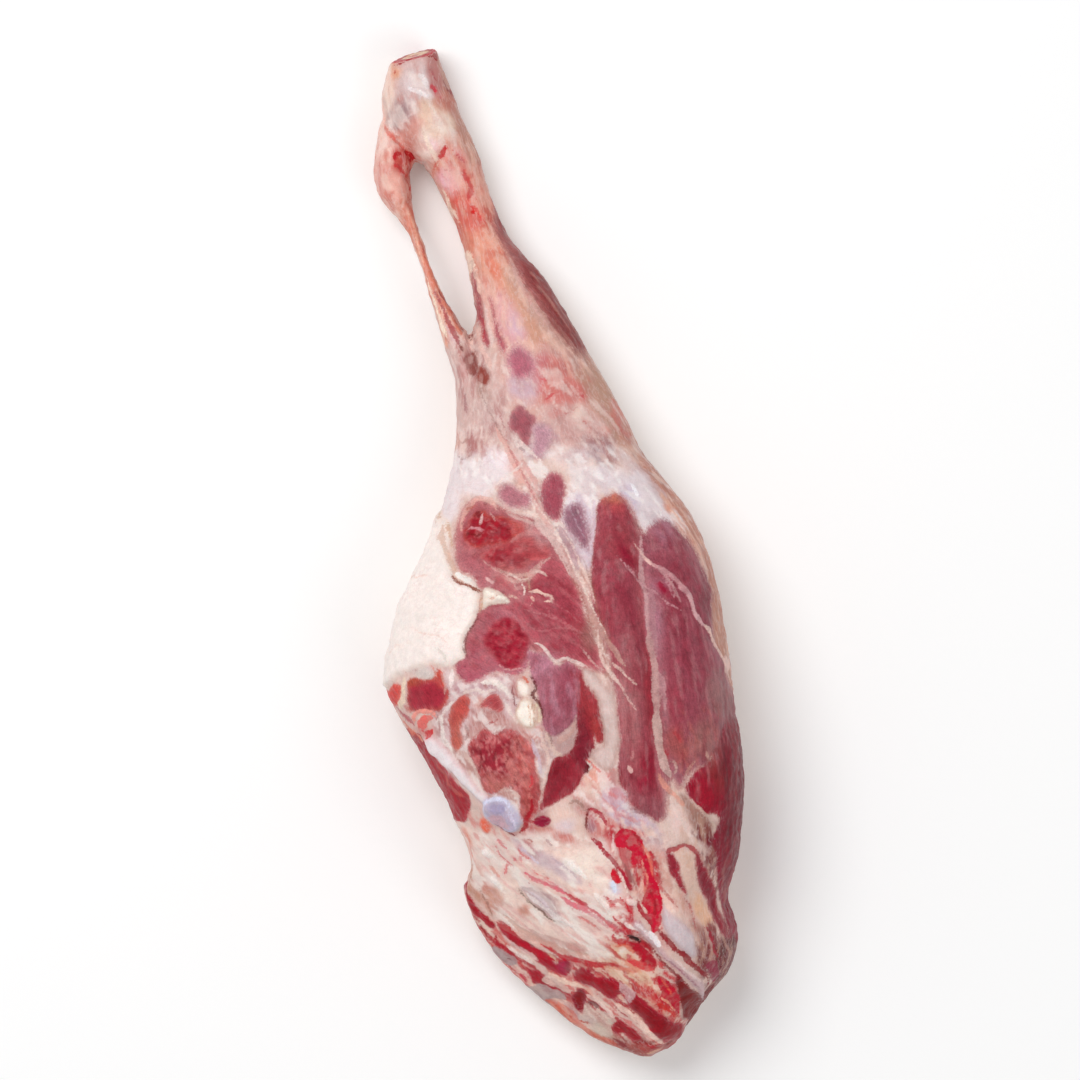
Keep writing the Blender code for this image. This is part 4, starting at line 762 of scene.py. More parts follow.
# Marks with a clear rim: (layer, tone, strength, width at the start, width at the end, rise, points).
# A rise below zero is a furrow. Where both widths are 0, the points are an outline, and otherwise a line.
OVER, DEEP, THREAD = MARKS = "over", "deep", "thread"
STROKES = (
    # hock
    (DEEP, (160, 26, 40), 1, 0, 0, -0.2,
     "-85 243, -80 243.5, -75 245.5, -70 247, -64 247.5, -61 246.5, -58 248, -58 256, -67 256, -76 254,"
     "-86 250"),
    (OVER, (206, 176, 128), 0.85, 1.2, 1.6, 0.1, "-80 249, -74 251.5, -67 253"),
    (DEEP, (150, 30, 44), 0.8, 1.4, 1.2, -0.1, "-66 251, -61 251.5, -58.5 248"),
    (OVER, (240, 230, 230), 0.75, 2.0, 1.6, 0.3, "-75 232, -70 229.5, -64 226"),
    (OVER, (236, 226, 226), 0.6, 3.0, 2.0, 0.1, "-70 239, -67 236, -65 230"),
    (OVER, (240, 222, 216), 0.5, 1.4, 1.2, 0.3, "-85 214.5, -82 210.5, -79 208"),
    (OVER, (232, 206, 202), 0.35, 1.6, 1.2, 0.2, "-78 214, -75 217.5, -71 219.5"),
    (OVER, (246, 222, 204), 0.7, 1.8, 2.4, 0.3, "-67 212, -65 205, -61 198, -60 193"),
    (DEEP, (204, 62, 76), 0.9, 2.4, 1.6, -0.4, "-64.5 232, -62 231.5, -61.8 228.5"),
    (DEEP, (170, 66, 72), 0.6, 1.2, 1.2, -0.2, "-63 242, -62 238, -60 235"),
    (DEEP, (196, 90, 100), 0.6, 1.4, 1.2, -0.1, "-60 229, -58 226"),
    (DEEP, (184, 80, 64), 0.8, 1.6, 1.2, -0.3, "-81.4 241, -81 238.5"),
    (DEEP, (188, 96, 84), 0.85, 1.5, 1.5, -0.2, "-79 226, -78.6 224.6"),
    (DEEP, (140, 36, 44), 0.8, 1.2, 1.0, 0, "-56 237, -54.5 232, -53 228"),
    (DEEP, (214, 96, 84), 0.7, 1.6, 2.0, -0.6, "-88 214, -84 209, -80 204.5, -77 201.5"),
    (DEEP, (178, 18, 40), 0.95, 1.8, 2.8, -0.8, "-77.5 201, -74 199, -71 196.5, -69.8 194.5"),
    (DEEP, (180, 10, 42), 0.95, 1.8, 1.6, -0.5, "-82 195.5, -81 199.5, -79.5 199, -78.5 197.5"),
    (DEEP, (196, 50, 54), 0.8, 2.4, 2.0, -0.4, "-82 194, -79 191.5, -77 189"),
    (DEEP, (150, 50, 46), 0.75, 1.4, 1.6, -0.3, "-74.5 190, -74 186, -75 182"),
    (DEEP, (196, 90, 72), 0.6, 1.6, 1.4, 0, "-73.5 186, -74 178, -72.5 170"),
    (DEEP, (196, 16, 42), 0.95, 2.0, 2.2, -0.4, "-55.5 203.8, -57 200.5, -58.8 196.8"),
    (DEEP, (214, 90, 74), 0.7, 1.0, 1.2, -0.2, "-58.5 197, -61 193.5, -63 190"),
    (DEEP, (206, 80, 84), 0.6, 0.8, 0.9, -0.2, "-54 201, -51 200, -48.5 197.5, -47 195"),
    (DEEP, (178, 60, 70), 0.8, 0.9, 1.3, -0.3, "-51 198.5, -48.5 196, -47 194.5"),
    (DEEP, (186, 80, 96), 0.5, 1.0, 0.8, -0.1, "-57 192, -54 190.5, -52 191.5"),
    (DEEP, (206, 100, 116), 0.5, 1.0, 0.8, -0.1, "-57.5 189, -56 187, -54 186"),
    (DEEP, (196, 66, 70), 0.75, 1.8, 2.4, -0.3, "-47 191, -45.5 187, -43.5 182, -44.5 176"),
    (DEEP, (190, 40, 44), 0.85, 1.6, 1.4, -0.2, "-43.5 182.5, -43.6 180"),
    (DEEP, (206, 26, 34), 0.95, 2.8, 2.0, -0.4, "-43 170.5, -41.6 168.5"),
    (DEEP, (212, 60, 56), 0.8, 2.0, 1.4, -0.2, "-44 173, -41 171.5, -39.5 168, -38.5 165"),
    (DEEP, (216, 92, 80), 0.6, 2.6, 2.0, -0.1, "-52 181, -50.5 178, -51 174"),
    (DEEP, (214, 84, 70), 0.55, 2.0, 1.6, -0.1, "-45.5 177.5, -44.5 175.5"),
    # tendon and strips
    (DEEP, (196, 84, 70), 0.7, 1.4, 1.8, 0,
     "-71 166, -68.5 157, -66 148, -62 138, -57.5 128, -52.5 118.5, -47.5 110.5"),
    (OVER, (244, 196, 172), 0.6, 1.2, 1.6, 0.2, "-75 170, -71.5 160, -69 150, -66.5 142"),
    (OVER, (250, 228, 208), 0.9, 1.4, 3.0, 0.3, "-66.5 138, -63.5 129, -61 120, -58 112, -55 106"),
    (DEEP, (168, 80, 86), 0.85, 1.2, 3.0, -0.5, "-62 132, -58.5 124, -55 115.5, -51.5 108, -49 102"),
    (OVER, (230, 158, 130), 0.7, 1.2, 1.6, 0.1, "-63 122, -59.5 112, -56 103, -54 98"),
    (OVER, (222, 186, 188), 0.8, 1.2, 1.2, 0.3, "-56.5 115, -53.5 108, -51.5 103"),
    (OVER, (246, 208, 196), 0.85, 1.8, 1.2, 0.6, "-49 108, -46 105.5, -41.5 103"),
    (OVER, (240, 200, 190), 0.7, 1.2, 1.0, 0.5, "-47 104, -43 101, -40 97"),
    (DEEP, (124, 60, 56), 0.85, 1.0, 1.2, -0.5, "-50.5 109, -49.5 104, -47 99.5"),
    (DEEP, (150, 72, 62), 0.8, 0.8, 1.2, -0.4, "-48.5 112, -45 107, -42 105"),
    (DEEP, (150, 88, 82), 0.6, 0, 0, -0.3, "-46.5 97, -42 99, -40 95, -40.5 89, -44 88, -46 92"),
    (DEEP, (150, 74, 66), 0.7, 0, 0, -0.4, "-40 92, -37 91, -34 87, -36 83, -39.5 84.5, -40.5 88"),
    (OVER, (248, 222, 204), 0.9, 2.0, 3.0, 0.5,
     "-58 182, -54.5 174, -51 166, -47.5 157, -44 148.5, -41 140.5"),
    (OVER, (244, 204, 190), 0.85, 2.2, 1.8, 0.4, "-42 143, -39.5 135, -38.4 128"),
    (OVER, (236, 206, 200), 0.7, 1.6, 1.8, 0.3, "-37 124, -35.5 117, -33.5 108, -32.5 101"),
    (OVER, (230, 186, 176), 0.8, 1.8, 2.6, 0.4, "-40.5 110, -38.5 102, -35 96, -33 90"),
    (DEEP, (186, 60, 66), 0.6, 0.8, 0.8, 0, "-38.5 118, -37 111, -37.5 104"),
    (OVER, (216, 170, 164), 0.6, 2.4, 1.6, 0.2, "-24 146, -19 134, -12 123, -5 113"),
    (OVER, (206, 162, 150), 0.5, 1.6, 1.0, 0.1, "-16 130, -9 120, -1 110, 7 101"),
    (DEEP, (110, 44, 42), 0.7, 0.8, 1.2, 0, "-24 156, -18 149, -9 139, -2 128, 6 114, 13 101"),
    # knee
    (DEEP, (206, 74, 84), 0.75, 2.0, 1.4, -0.1, "-8.5 86, -5.5 85.5"),
    (DEEP, (196, 60, 66), 0.8, 1.6, 1.8, -0.2, "-6.5 75.5, -4 77, -1.5 78.5"),
    (DEEP, (190, 78, 84), 0.7, 2.4, 1.6, -0.2, "10.5 78, 13.5 76.5"),
    (DEEP, (184, 90, 104), 0.6, 1.4, 1.2, -0.1, "14 81, 15.5 79.5"),
    (DEEP, (196, 98, 96), 0.6, 1.6, 1.2, -0.1, "12 65.5, 15 64"),
    (DEEP, (196, 90, 92), 0.5, 1.0, 0.8, -0.1, "2 68, 6 69.5, 10 72"),
    (DEEP, (196, 100, 96), 0.5, 0.8, 0.8, -0.1, "26 68, 31 62, 36 54"),
    (DEEP, (150, 90, 84), 0.65, 0.8, 1.0, -0.4, "-50.5 45, -46 46.5, -42 49"),
    (DEEP, (170, 120, 112), 0.6, 0.8, 1.0, -0.3, "-50 53, -47 53.5, -44 57"),
    (DEEP, (160, 104, 108), 0.7, 1.4, 1.4, -0.2, "-46 79, -46.2 74, -45.5 68.5"),
    (DEEP, (160, 120, 116), 0.6, 0.8, 0.9, -0.3, "-39 82, -37 76, -34 69, -30 62, -26 55"),
    (DEEP, (172, 104, 108), 0.6, 1.0, 0.8, -0.2, "-29 68, -27 62, -25 58"),
    (DEEP, (186, 106, 108), 0.6, 1.0, 1.2, -0.2, "-26 58, -24 52, -21 46, -18 40, -15 34, -12 28, -9 22"),
    (OVER, (234, 212, 206), 0.9, 1.2, 1.2, 0.5, "-22.5 57.5, -20 53.5, -16 51, -12 48.5, -7 44.5"),
    (OVER, (236, 210, 204), 0.8, 1.2, 1.0, 0.4, "-21 57, -17.5 54, -14 50.5, -11 49"),
    (DEEP, (166, 132, 134), 0.7, 1.6, 1.2, -0.3, "-19 52.5, -16 49.5"),
    (OVER, (224, 170, 160), 0.8, 1.6, 4.2, 0.6, "-31 62, -26 53, -22 46, -18 39.5"),
    (OVER, (216, 162, 156), 0.8, 2.0, 2.6, 0.5, "-18 46, -14 40, -11 35, -9.5 29"),
    (OVER, (220, 174, 168), 0.8, 3.0, 2.6, 0.8, "-17 39, -13.5 31, -10 24, -6 16, -1 9"),
    (OVER, (220, 190, 184), 0.8, 3.0, 3.0, 0.8, "-11 16, -5.5 9, -0.5 2, 4 -6, 7 -13"),
    (OVER, (200, 152, 148), 0.75, 3.0, 2.6, 0.7, "1 4, 6 -5, 10 -14, 14 -23, 17 -32"),
    (OVER, (184, 144, 150), 0.7, 0, 0, -0.2, "0 13, 3 11, 7 4, 10 -4, 11 -9, 8 -8, 5 -1, 1 6"),
    (OVER, (196, 152, 142), 0.75, 3.0, 2.4, 0.7, "10 -14, 15 -24, 19 -34, 24 -43, 30 -52, 34 -58"),
    (THREAD, (240, 216, 206), 0.8, 0.9, 1.0, 0.2,
     "-13.5 29, -9 21, -4 14, 1 6, 6.5 -4, 12 -16, 18 -29, 24 -41"),
    (THREAD, (236, 206, 196), 0.7, 0.9, 0.8, 0.2, "2 10, 8 1, 13 -10, 17 -20, 19 -28"),
    (DEEP, (166, 96, 92), 0.6, 0.8, 0.9, -0.3, "0 0, 5 -9, 10 -19, 15 -31, 19 -41"),
    (DEEP, (150, 100, 84), 0.55, 0.8, 1.2, -0.3, "13 -4, 16 -14, 19 -24, 22 -36, 27 -45"),
    (THREAD, (226, 196, 186), 0.8, 1.0, 1.6, 0.3, "20 -38, 20 -46, 22 -54, 27 -62, 33 -69"),
    (THREAD, (222, 186, 176), 0.8, 1.6, 1.2, 0.3, "26 -55, 32 -60, 36 -64, 39 -67"),
    (THREAD, (222, 184, 176), 0.7, 1.0, 0.8, 0.2, "30 -64, 32 -68, 34.5 -73, 38 -79"),
    (THREAD, (214, 172, 166), 0.7, 1.0, 0.9, 0.2, "11 -48, 15 -53, 19 -57, 24 -60"),
    (THREAD, (236, 214, 208), 0.75, 1.2, 1.0, 0.3, "-30 33, -26 37, -20 41, -16 45"),
    # fat cover
    (DEEP, (226, 180, 164), 0.5, 0.9, 1.2, -0.2, "-76 -12, -70 -13, -63 -12.5"),
    (DEEP, (232, 190, 176), 0.45, 0.9, 0.8, -0.2, "-72 -38, -66 -41, -58 -42, -54 -46"),
    (DEEP, (228, 186, 170), 0.4, 0.8, 0.8, -0.2, "-88 -44, -82 -48, -76 -47"),
    (DEEP, (222, 150, 140), 0.4, 1.2, 1.0, -0.1, "-62 -32, -60.5 -33"),
    (DEEP, (222, 150, 140), 0.4, 1.2, 1.0, -0.1, "-80 -26, -78.5 -26.5"),
    (DEEP, (206, 196, 186), 0.5, 1.2, 1.6, -0.4, "-60 -48, -56 -51, -54 -55"),
    # inner thigh
    (OVER, (228, 178, 166), 0.65, 1.6, 3.0, 0.5,
     "-48 10, -47.5 16, -45 21, -41 25, -37 26, -32 24, -30 20"),
    (DEEP, (190, 96, 76), 0.6, 1.0, 0.9, -0.2, "-46 20, -43 21.5, -41 22.5"),
    (THREAD, (222, 182, 180), 0.85, 1.4, 1.2, 0.5, "-37 18.5, -37.5 15, -38.5 12.5"),
    (THREAD, (214, 150, 156), 0.8, 1.0, 1.6, 0.4, "-45 10.5, -42 11.5, -39 10.5, -36 10"),
    (THREAD, (206, 160, 156), 0.7, 1.0, 1.2, 0.4, "-34 20, -32 17, -31 14.5"),
    (DEEP, (124, 24, 36), 0.85, 1.0, 1.2, -0.8, "-46.5 8.2, -43.5 8.8, -40 8, -37 9"),
    (DEEP, (120, 28, 40), 0.8, 1.8, 1.2, -0.7, "-41 17, -39.5 19.5, -38.5 15.5"),
    (DEEP, (140, 30, 44), 0.8, 2.0, 1.4, -0.3, "-25 10.5, -23.5 7.5"),
    (DEEP, (160, 30, 46), 0.7, 3.0, 2.4, -0.3, "-42 7, -39 5"),
    (OVER, (214, 178, 172), 0.75, 1.4, 1.6, 0.3, "-26 19, -20 16.5, -14 14.5, -8 11, -5 7"),
    (OVER, (206, 140, 138), 0.45, 1.6, 2.4, 0.3, "-24 4, -18 8.5, -12 9, -8 8"),
    (OVER, (214, 176, 166), 0.55, 1.2, 2.0, 0.3, "-31 -8, -26 -11, -21 -12.5, -15 -12, -11 -9, -7 -4"),
    (OVER, (212, 168, 160), 0.6, 1.8, 1.2, 0.3, "-27 -13.5, -21 -15.5, -15.5 -15, -12 -12, -8 -8"),
    (OVER, (206, 150, 146), 0.5, 2.6, 1.6, 0.2, "-22 -19, -18 -18.5, -15 -18"),
    (THREAD, (230, 206, 196), 0.65, 0.9, 1.0, 0.3, "-25 -10.5, -21 -13.5, -17 -15, -13 -14"),
    (THREAD, (242, 224, 214), 0.8, 1.0, 0.8, 0.3, "-18.5 -16, -16.5 -19.5, -17.5 -23"),
    (THREAD, (234, 206, 196), 0.7, 0.9, 1.0, 0.3, "-12 -10, -8 -10.5, -5 -13"),
    (THREAD, (250, 240, 228), 0.9, 1.8, 1.2, 0.8, "-36 -20, -33 -22.5, -31 -21"),
    (THREAD, (250, 240, 228), 0.9, 1.6, 1.2, 0.8, "-30 -24.5, -27.5 -23.5, -25 -25.5"),
    (DEEP, (206, 140, 120), 0.6, 0.9, 0.8, -0.5, "-34.5 -24, -31.5 -24, -29 -22"),
    (THREAD, (216, 176, 168), 0.6, 0.9, 0.8, 0.3, "-14 -13, -10 -9, -6 -5, -3 -1"),
    (THREAD, (212, 166, 160), 0.6, 0.9, 1.0, 0.3, "-38 -4, -33 -8, -28 -11, -23 -15, -20 -20"),
    (DEEP, (196, 150, 126), 0.6, 1.0, 0.9, -0.2, "-16 -12, -14 -17, -15 -20"),
    (DEEP, (180, 88, 94), 0.8, 2.6, 2.0, 0.1, "-31 -13, -27 -15.5, -23 -20"),
    (THREAD, (232, 190, 186), 0.7, 1.8, 1.4, 0.4, "-36 -13, -33 -15.5, -31 -14.5"),
    (THREAD, (236, 198, 184), 0.85, 1.4, 1.6, 0.6,
     "-15 -21, -11 -20.5, -7 -22, -3.5 -22.5, -3.5 -25, -7 -25"),
    (THREAD, (232, 186, 172), 0.8, 1.4, 1.0, 0.5, "-14.5 -22.5, -12.5 -25, -13.5 -27"),
    (THREAD, (224, 186, 170), 0.75, 1.2, 1.2, 0.4, "-26 -22, -22 -22.5, -19 -24"),
    (DEEP, (146, 80, 64), 0.95, 1.4, 1.8, -1.1, "-53.5 -12, -50 -15.5, -45 -17.8, -38 -20.5"),
    # tan creases along the fat's edge: painted shade in the creases
    (DEEP, (212, 170, 150), 0.7, 2.4, 2.2, -0.2, "-56 12, -56.5 5, -54.5 -2, -52.5 -8, -50 -13, -46 -17"),
    (DEEP, (206, 160, 132), 0.75, 1.2, 1.4, -0.5, "-54.5 14, -54 8, -52.5 2"),
    (DEEP, (214, 172, 146), 0.75, 1.0, 1.4, -0.4, "-38.5 -21, -38.5 -25, -38 -28, -40 -31"),
    (DEEP, (196, 36, 50), 0.9, 2.0, 1.6, -0.2, "-53.2 -5.5, -52.2 -6.8"),
    (THREAD, (242, 234, 228), 0.95, 2.6, 3.2, 1.0, "-51 -11, -47.5 -13.5, -43 -15.5"),
    # painted shadow: a dark line beside the raised edge of the fat
    (DEEP, (120, 66, 66), 0.7, 1.0, 1.6, -0.5, "-38 -30, -42 -37, -45 -42, -46 -49, -44.5 -53"),
    (THREAD, (196, 124, 128), 0.5, 0.9, 0.8, 0.2, "-18 -29, -10 -31, -2 -33.5, 6 -37, 12 -41, 17 -47"),
    (THREAD, (196, 124, 128), 0.45, 0.8, 0.8, 0.2, "-20 -32, -14 -37, -8 -40, 2 -38, 12 -40"),
    (THREAD, (196, 124, 128), 0.4, 0.8, 0.8, 0.2, "-6 -28, 0 -34, 8 -40, 16 -50"),
    (THREAD, (196, 124, 128), 0.4, 0.8, 0.7, 0.2, "-12 -20, -4 -24, 4 -30, 12 -36"),
    (THREAD, (226, 200, 194), 0.9, 1.2, 1.6, 0.5,
     "-12 -45.5, -8 -47, -5.5 -50, -3.5 -52.5, -1 -55.5, 2 -54, 5 -53.5, 9 -55.5, 15 -58"),
    (THREAD, (210, 158, 156), 0.7, 0.9, 0.8, 0.2, "-30 -56, -24 -59, -18 -58, -16 -62"),
    # outer thigh
    (OVER, (214, 190, 200), 0.8, 1.6, 1.2, 0.3, "19 26, 18 14, 17 2, 15.5 -9"),
    (OVER, (196, 152, 154), 0.85, 2.2, 3.4, 0.3, "41 9, 41.5 0, 41.5 -10, 43 -20, 44.5 -30, 44.5 -40"),
    (OVER, (198, 158, 154), 0.8, 3.2, 4.4, 0.3, "44.5 -38, 46 -48, 48 -58, 48.5 -70, 48.5 -82"),
    (OVER, (210, 178, 170), 0.8, 4.4, 4.6, 0.4, "48.5 -78, 49 -88, 50.5 -98, 53 -106, 56 -112"),
    (OVER, (178, 128, 134), 0.7, 5.0, 2.0, 0.1, "45 -18, 46 -28, 47 -40, 49 -52"),
    (OVER, (196, 150, 152), 0.6, 3.0, 2.0, 0.1, "50 -60, 52 -70, 53 -80"),
    (THREAD, (232, 190, 182), 0.9, 1.0, 1.8, 0.4, "36.5 4.5, 40 1, 44 -4, 48 -8"),
    (THREAD, (206, 152, 156), 0.85, 1.6, 2.6, 0.4, "46 -5.5, 52 -10, 57 -14, 61 -19, 65 -23"),
    (THREAD, (206, 160, 162), 0.6, 1.2, 1.0, 0.2, "48 -8, 53 -13, 57 -19, 60 -26"),
    (THREAD, (214, 168, 170), 0.9, 2.0, 1.6, 0.4, "62 -20, 65.5 -25, 67 -30, 70 -35.5, 73 -38"),
    (THREAD, (232, 194, 184), 0.95, 1.8, 1.6, 0.5, "70 -36, 74 -38.5, 77 -43, 80 -49, 83 -56, 86.5 -66"),
    (THREAD, (206, 150, 156), 0.75, 0.9, 1.0, 0.2,
     "29 -3, 33 -8, 38 -13, 43 -17.5, 49 -22, 55 -27, 61 -30"),
    (THREAD, (200, 142, 146), 0.6, 0.8, 0.8, 0.2, "34 -7, 37 -11, 40 -14"),
    (THREAD, (206, 148, 156), 0.6, 0.9, 0.8, 0.2, "52 -14, 55 -19, 57 -24"),
    (DEEP, (150, 30, 58), 0.85, 2.0, 2.4, -0.2, "49 -15.5, 51 -18, 53.5 -21"),
    (DEEP, (140, 34, 54), 0.6, 2.0, 1.2, -0.1, "31 1, 34 -3, 37 -7, 39 -11"),
    (THREAD, (226, 206, 212), 0.4, 0.9, 0.7, 0.1, "9.5 22, 12 17, 15 11"),
    (THREAD, (206, 184, 196), 0.35, 0.8, 0.7, 0.1, "6 22, 10 14, 14 6"),
    # painted highlight: a bright white glint on the wet sheet
    (THREAD, (250, 246, 250), 0.85, 2.4, 1.4, 0.2, "36 34, 38.5 31.5, 40 27"),
    (THREAD, (246, 236, 232), 0.85, 1.6, 1.0, 0.2, "50.3 20.5, 51.8 18"),
    (THREAD, (244, 204, 188), 0.6, 1.4, 1.0, 0.2, "56 21, 60 17, 64 12"),
    (THREAD, (222, 176, 170), 0.85, 2.2, 1.4, 0.4, "34.5 -106, 36 -108.5, 35.5 -106"),
    (THREAD, (196, 130, 130), 0.7, 1.6, 1.2, 0.2, "36.5 -98, 37 -101, 36.5 -104"),
    (THREAD, (214, 178, 166), 0.6, 1.0, 1.6, 0.4, "55 -104, 57.5 -104, 58.5 -108, 56.5 -111"),
    (THREAD, (196, 144, 132), 0.7, 1.0, 1.2, 0.2, "68 -103, 65 -108, 62 -113"),
    (THREAD, (206, 160, 148), 0.7, 1.4, 1.0, 0.3, "73 -99, 75 -103, 77 -101"),
    (DEEP, (176, 56, 62), 0.45, 2.0, 1.6, -0.1, "54 -88, 58 -91, 61 -96"),
    (DEEP, (160, 40, 50), 0.6, 1.6, 1.2, -0.1, "52.5 -98, 55 -102"),
    (OVER, (222, 150, 132), 0.7, 2.6, 2.0, 0.2, "50 -110, 53 -116, 58 -121, 63 -127"),
    # left edge
    (OVER, (238, 212, 190), 0.95, 1.8, 2.4, 0.4, "-76 -62, -76.5 -69, -77 -76"),
    (DEEP, (212, 96, 70), 0.55, 1.0, 1.8, 0, "-63 -57, -61.5 -58.5, -59.5 -62"),
    (DEEP, (150, 50, 44), 0.85, 1.6, 1.6, -0.1, "-71.5 -59.5, -70 -60"),
    (DEEP, (196, 90, 90), 0.6, 1.2, 1.2, -0.1, "-75.5 -59.8, -74.5 -60"),
    (OVER, (218, 204, 196), 0.6, 0, 0, 0.2, "-71 -60.5, -67 -58, -63 -60, -62 -63, -66 -63.5, -70 -62.5"),
    (OVER, (238, 152, 140), 0.95, 2.2, 2.4, 1.0, "-71 -86, -71 -81.5, -67 -79.3, -62.5 -80, -60.5 -82.5"),
    (OVER, (226, 104, 98), 0.95, 0, 0, 0.5, "-69.5 -84, -66 -81.5, -62 -82.5, -64 -85.5, -66 -89, -69 -88"),
    (DEEP, (208, 14, 44), 0.95, 0, 0, -0.2,
     "-69 -88, -65.5 -89.5, -62 -88.5, -61.8 -90.5, -65 -94, -66.5 -91"),
    (DEEP, (216, 96, 72), 0.8, 1.6, 2.0, 0, "-87 -72, -81 -80, -75 -88, -69 -97"),
    (DEEP, (176, 60, 76), 0.8, 1.8, 2.2, -0.2, "-80 -77, -75 -82, -71.5 -87"),
    (OVER, (222, 170, 150), 0.7, 1.4, 1.2, 0.1, "-76 -86, -71 -93, -67 -98"),
    (OVER, (206, 176, 160), 0.8, 1.6, 1.4, 0.2, "-68 -92, -65.5 -96"),
    (THREAD, (206, 104, 92), 0.5, 0.9, 1.4, 0.1, "-63 -103, -57 -110, -52 -117, -47 -123"),
    (THREAD, (244, 226, 222), 0.85, 1.8, 2.2, 0.4, "-52 -58, -53 -63, -53.5 -68"),
    (THREAD, (236, 222, 216), 0.85, 1.8, 2.4, 0.4, "-57 -80, -57.5 -86, -57 -93, -52 -99"),
    (THREAD, (232, 214, 208), 0.8, 1.4, 1.8, 0.4, "-61 -86, -58.5 -83, -55 -79, -51 -73.5"),
    (THREAD, (206, 158, 150), 0.7, 1.2, 1.0, 0.2, "-58 -60, -56.5 -66, -56 -71"),
    # hip
    (OVER, (226, 204, 196), 0.7, 1.8, 1.6, 0.5, "-48 -71, -42 -69, -36 -70, -30 -68.5"),
    (OVER, (238, 224, 216), 0.85, 2.2, 2.6, 0.6, "-38 -66, -32 -65, -27 -68, -24 -72"),
    (OVER, (226, 204, 196), 0.8, 1.6, 1.6, 0.5, "-26 -75, -24 -79, -21 -83"),
    (DEEP, (130, 56, 60), 0.8, 1.0, 1.4, -0.6, "-24 -66, -22.5 -70, -22 -74, -21 -77"),
    (DEEP, (150, 70, 66), 0.7, 1.2, 1.0, -0.4, "-27 -73, -24.5 -73.5"),
    (DEEP, (168, 70, 70), 0.75, 1.2, 1.6, -0.4, "-35 -86.5, -32 -85, -30 -83.5"),
    (DEEP, (150, 104, 100), 0.6, 1.4, 1.2, -0.3, "-46 -86, -44 -90, -46 -94"),
    (DEEP, (104, 24, 36), 0.85, 1.2, 1.7, -1.4,
     "-14 -62, -11.5 -64.5, -11 -69, -12.5 -72, -9.5 -75, -8 -79, -7.8 -84"),
    (DEEP, (206, 92, 64), 0.85, 1.6, 1.2, 0.2, "-18 -62, -15.5 -64, -14 -66"),
    (THREAD, (206, 140, 100), 0.7, 0.9, 0.9, -0.2, "-14.5 -75, -13.3 -80, -13 -86"),
    (THREAD, (190, 130, 96), 0.6, 0.8, 0.8, -0.2, "-12 -76, -11 -81, -11 -86"),
    (THREAD, (244, 226, 196), 0.8, 1.2, 1.2, 0.6, "-11 -75, -9 -79.5, -8.6 -86"),
    (OVER, (208, 192, 206), 0.6, 1.6, 2.2, 0.5, "-13 -92, -11.5 -98, -9 -105, -8 -112"),
    (OVER, (232, 200, 190), 0.85, 2.0, 1.6, 0.5, "-8.5 -88, -7 -95, -5 -101, -5 -108, -7 -118"),
    (OVER, (222, 190, 178), 0.85, 1.6, 2.4, 0.4, "-6 -89, -3 -96, -1 -100, 3 -101"),
    (OVER, (206, 162, 152), 0.7, 3.0, 1.4, 0.3, "0 -95, 5 -92, 9 -84"),
    (DEEP, (150, 106, 104), 0.7, 1.2, 1.0, -0.4, "-5 -89, -3 -93, -2 -97"),
    (DEEP, (126, 26, 44), 0.6, 1.4, 1.2, -0.9, "-40 -96, -38 -101, -38 -106, -40 -110"),
    (DEEP, (126, 26, 44), 0.6, 1.4, 1.0, -0.8, "-31 -99, -31.5 -105"),
    (DEEP, (126, 26, 44), 0.6, 1.2, 1.0, -0.8, "-26 -100, -24.5 -103, -27 -108"),
    (DEEP, (126, 26, 44), 0.6, 1.2, 1.0, -0.7, "-20.5 -89, -19.5 -95, -20 -99"),
    (DEEP, (206, 60, 70), 0.75, 1.6, 1.4, -0.2, "-13.5 -110, -12 -114, -14 -118"),
    (DEEP, (172, 20, 46), 0.9, 1.6, 2.4, -0.7, "-12.5 -122, -13 -128, -16 -133, -16 -137, -19 -140"),
    (DEEP, (180, 40, 52), 0.85, 1.4, 1.2, -0.5, "-17 -134.5, -13 -134, -11 -133"),
    (DEEP, (140, 44, 50), 0.85, 0.8, 1.2, -0.5, "-31 -134.5, -28 -137.5, -24.5 -139.8, -20 -141"),
    # painted highlights: bluish-white lines along the knob's upper rim
    (THREAD, (216, 216, 238), 0.8, 1.6, 1.8, 0.2,
     "-36.5 -127.5, -34.5 -124.5, -30.5 -123, -26 -123.5, -22.5 -127"),
    (THREAD, (220, 212, 232), 0.7, 1.4, 1.2, 0.1, "-26.5 -126, -23.5 -129, -21 -133, -20 -137"),
    (DEEP, (160, 150, 188), 0.5, 0, 0, -0.5, "-32.5 -126, -28.5 -125, -25 -127.5, -27 -129.5, -31 -128.5"),
    (DEEP, (176, 158, 186), 0.4, 1.6, 1.4, -0.3, "-31 -126.5, -28 -126.5, -26 -128.5"),
    (DEEP, (208, 164, 172), 0.8, 0, 0, 0,
     "-33.5 -130.5, -29 -130, -25 -132, -23.5 -136, -27 -137, -31.5 -134"),
    (DEEP, (208, 166, 172), 0.6, 2.0, 1.6, 0, "-31 -131, -26 -134.5, -23 -136"),
    (DEEP, (146, 98, 86), 0.6, 1.6, 2.4, -0.8, "5 -125.5, 8 -123.5, 11.5 -125, 13 -128.5"),
    (THREAD, (226, 90, 82), 0.6, 1.0, 1.4, 0, "14 -103, 18 -107, 22 -110"),
    (DEEP, (96, 30, 40), 0.8, 1.6, 2.2, -0.6, "16.5 -104.5, 14.5 -107.5, 13 -110"),
    (THREAD, (236, 222, 214), 0.8, 1.4, 1.2, 0.5, "14 -104.5, 16.5 -106.5, 14.5 -109"),
    # pelvis
    (DEEP, (222, 100, 108), 0.75, 1.4, 1.2, -0.2, "-30 -142, -27.5 -146, -25 -149"),
    (DEEP, (218, 92, 98), 0.75, 1.0, 1.6, -0.2, "-24 -155, -25.5 -158, -26 -161"),
    (DEEP, (214, 90, 100), 0.8, 1.6, 1.8, -0.2, "-23 -152.5, -20.5 -154"),
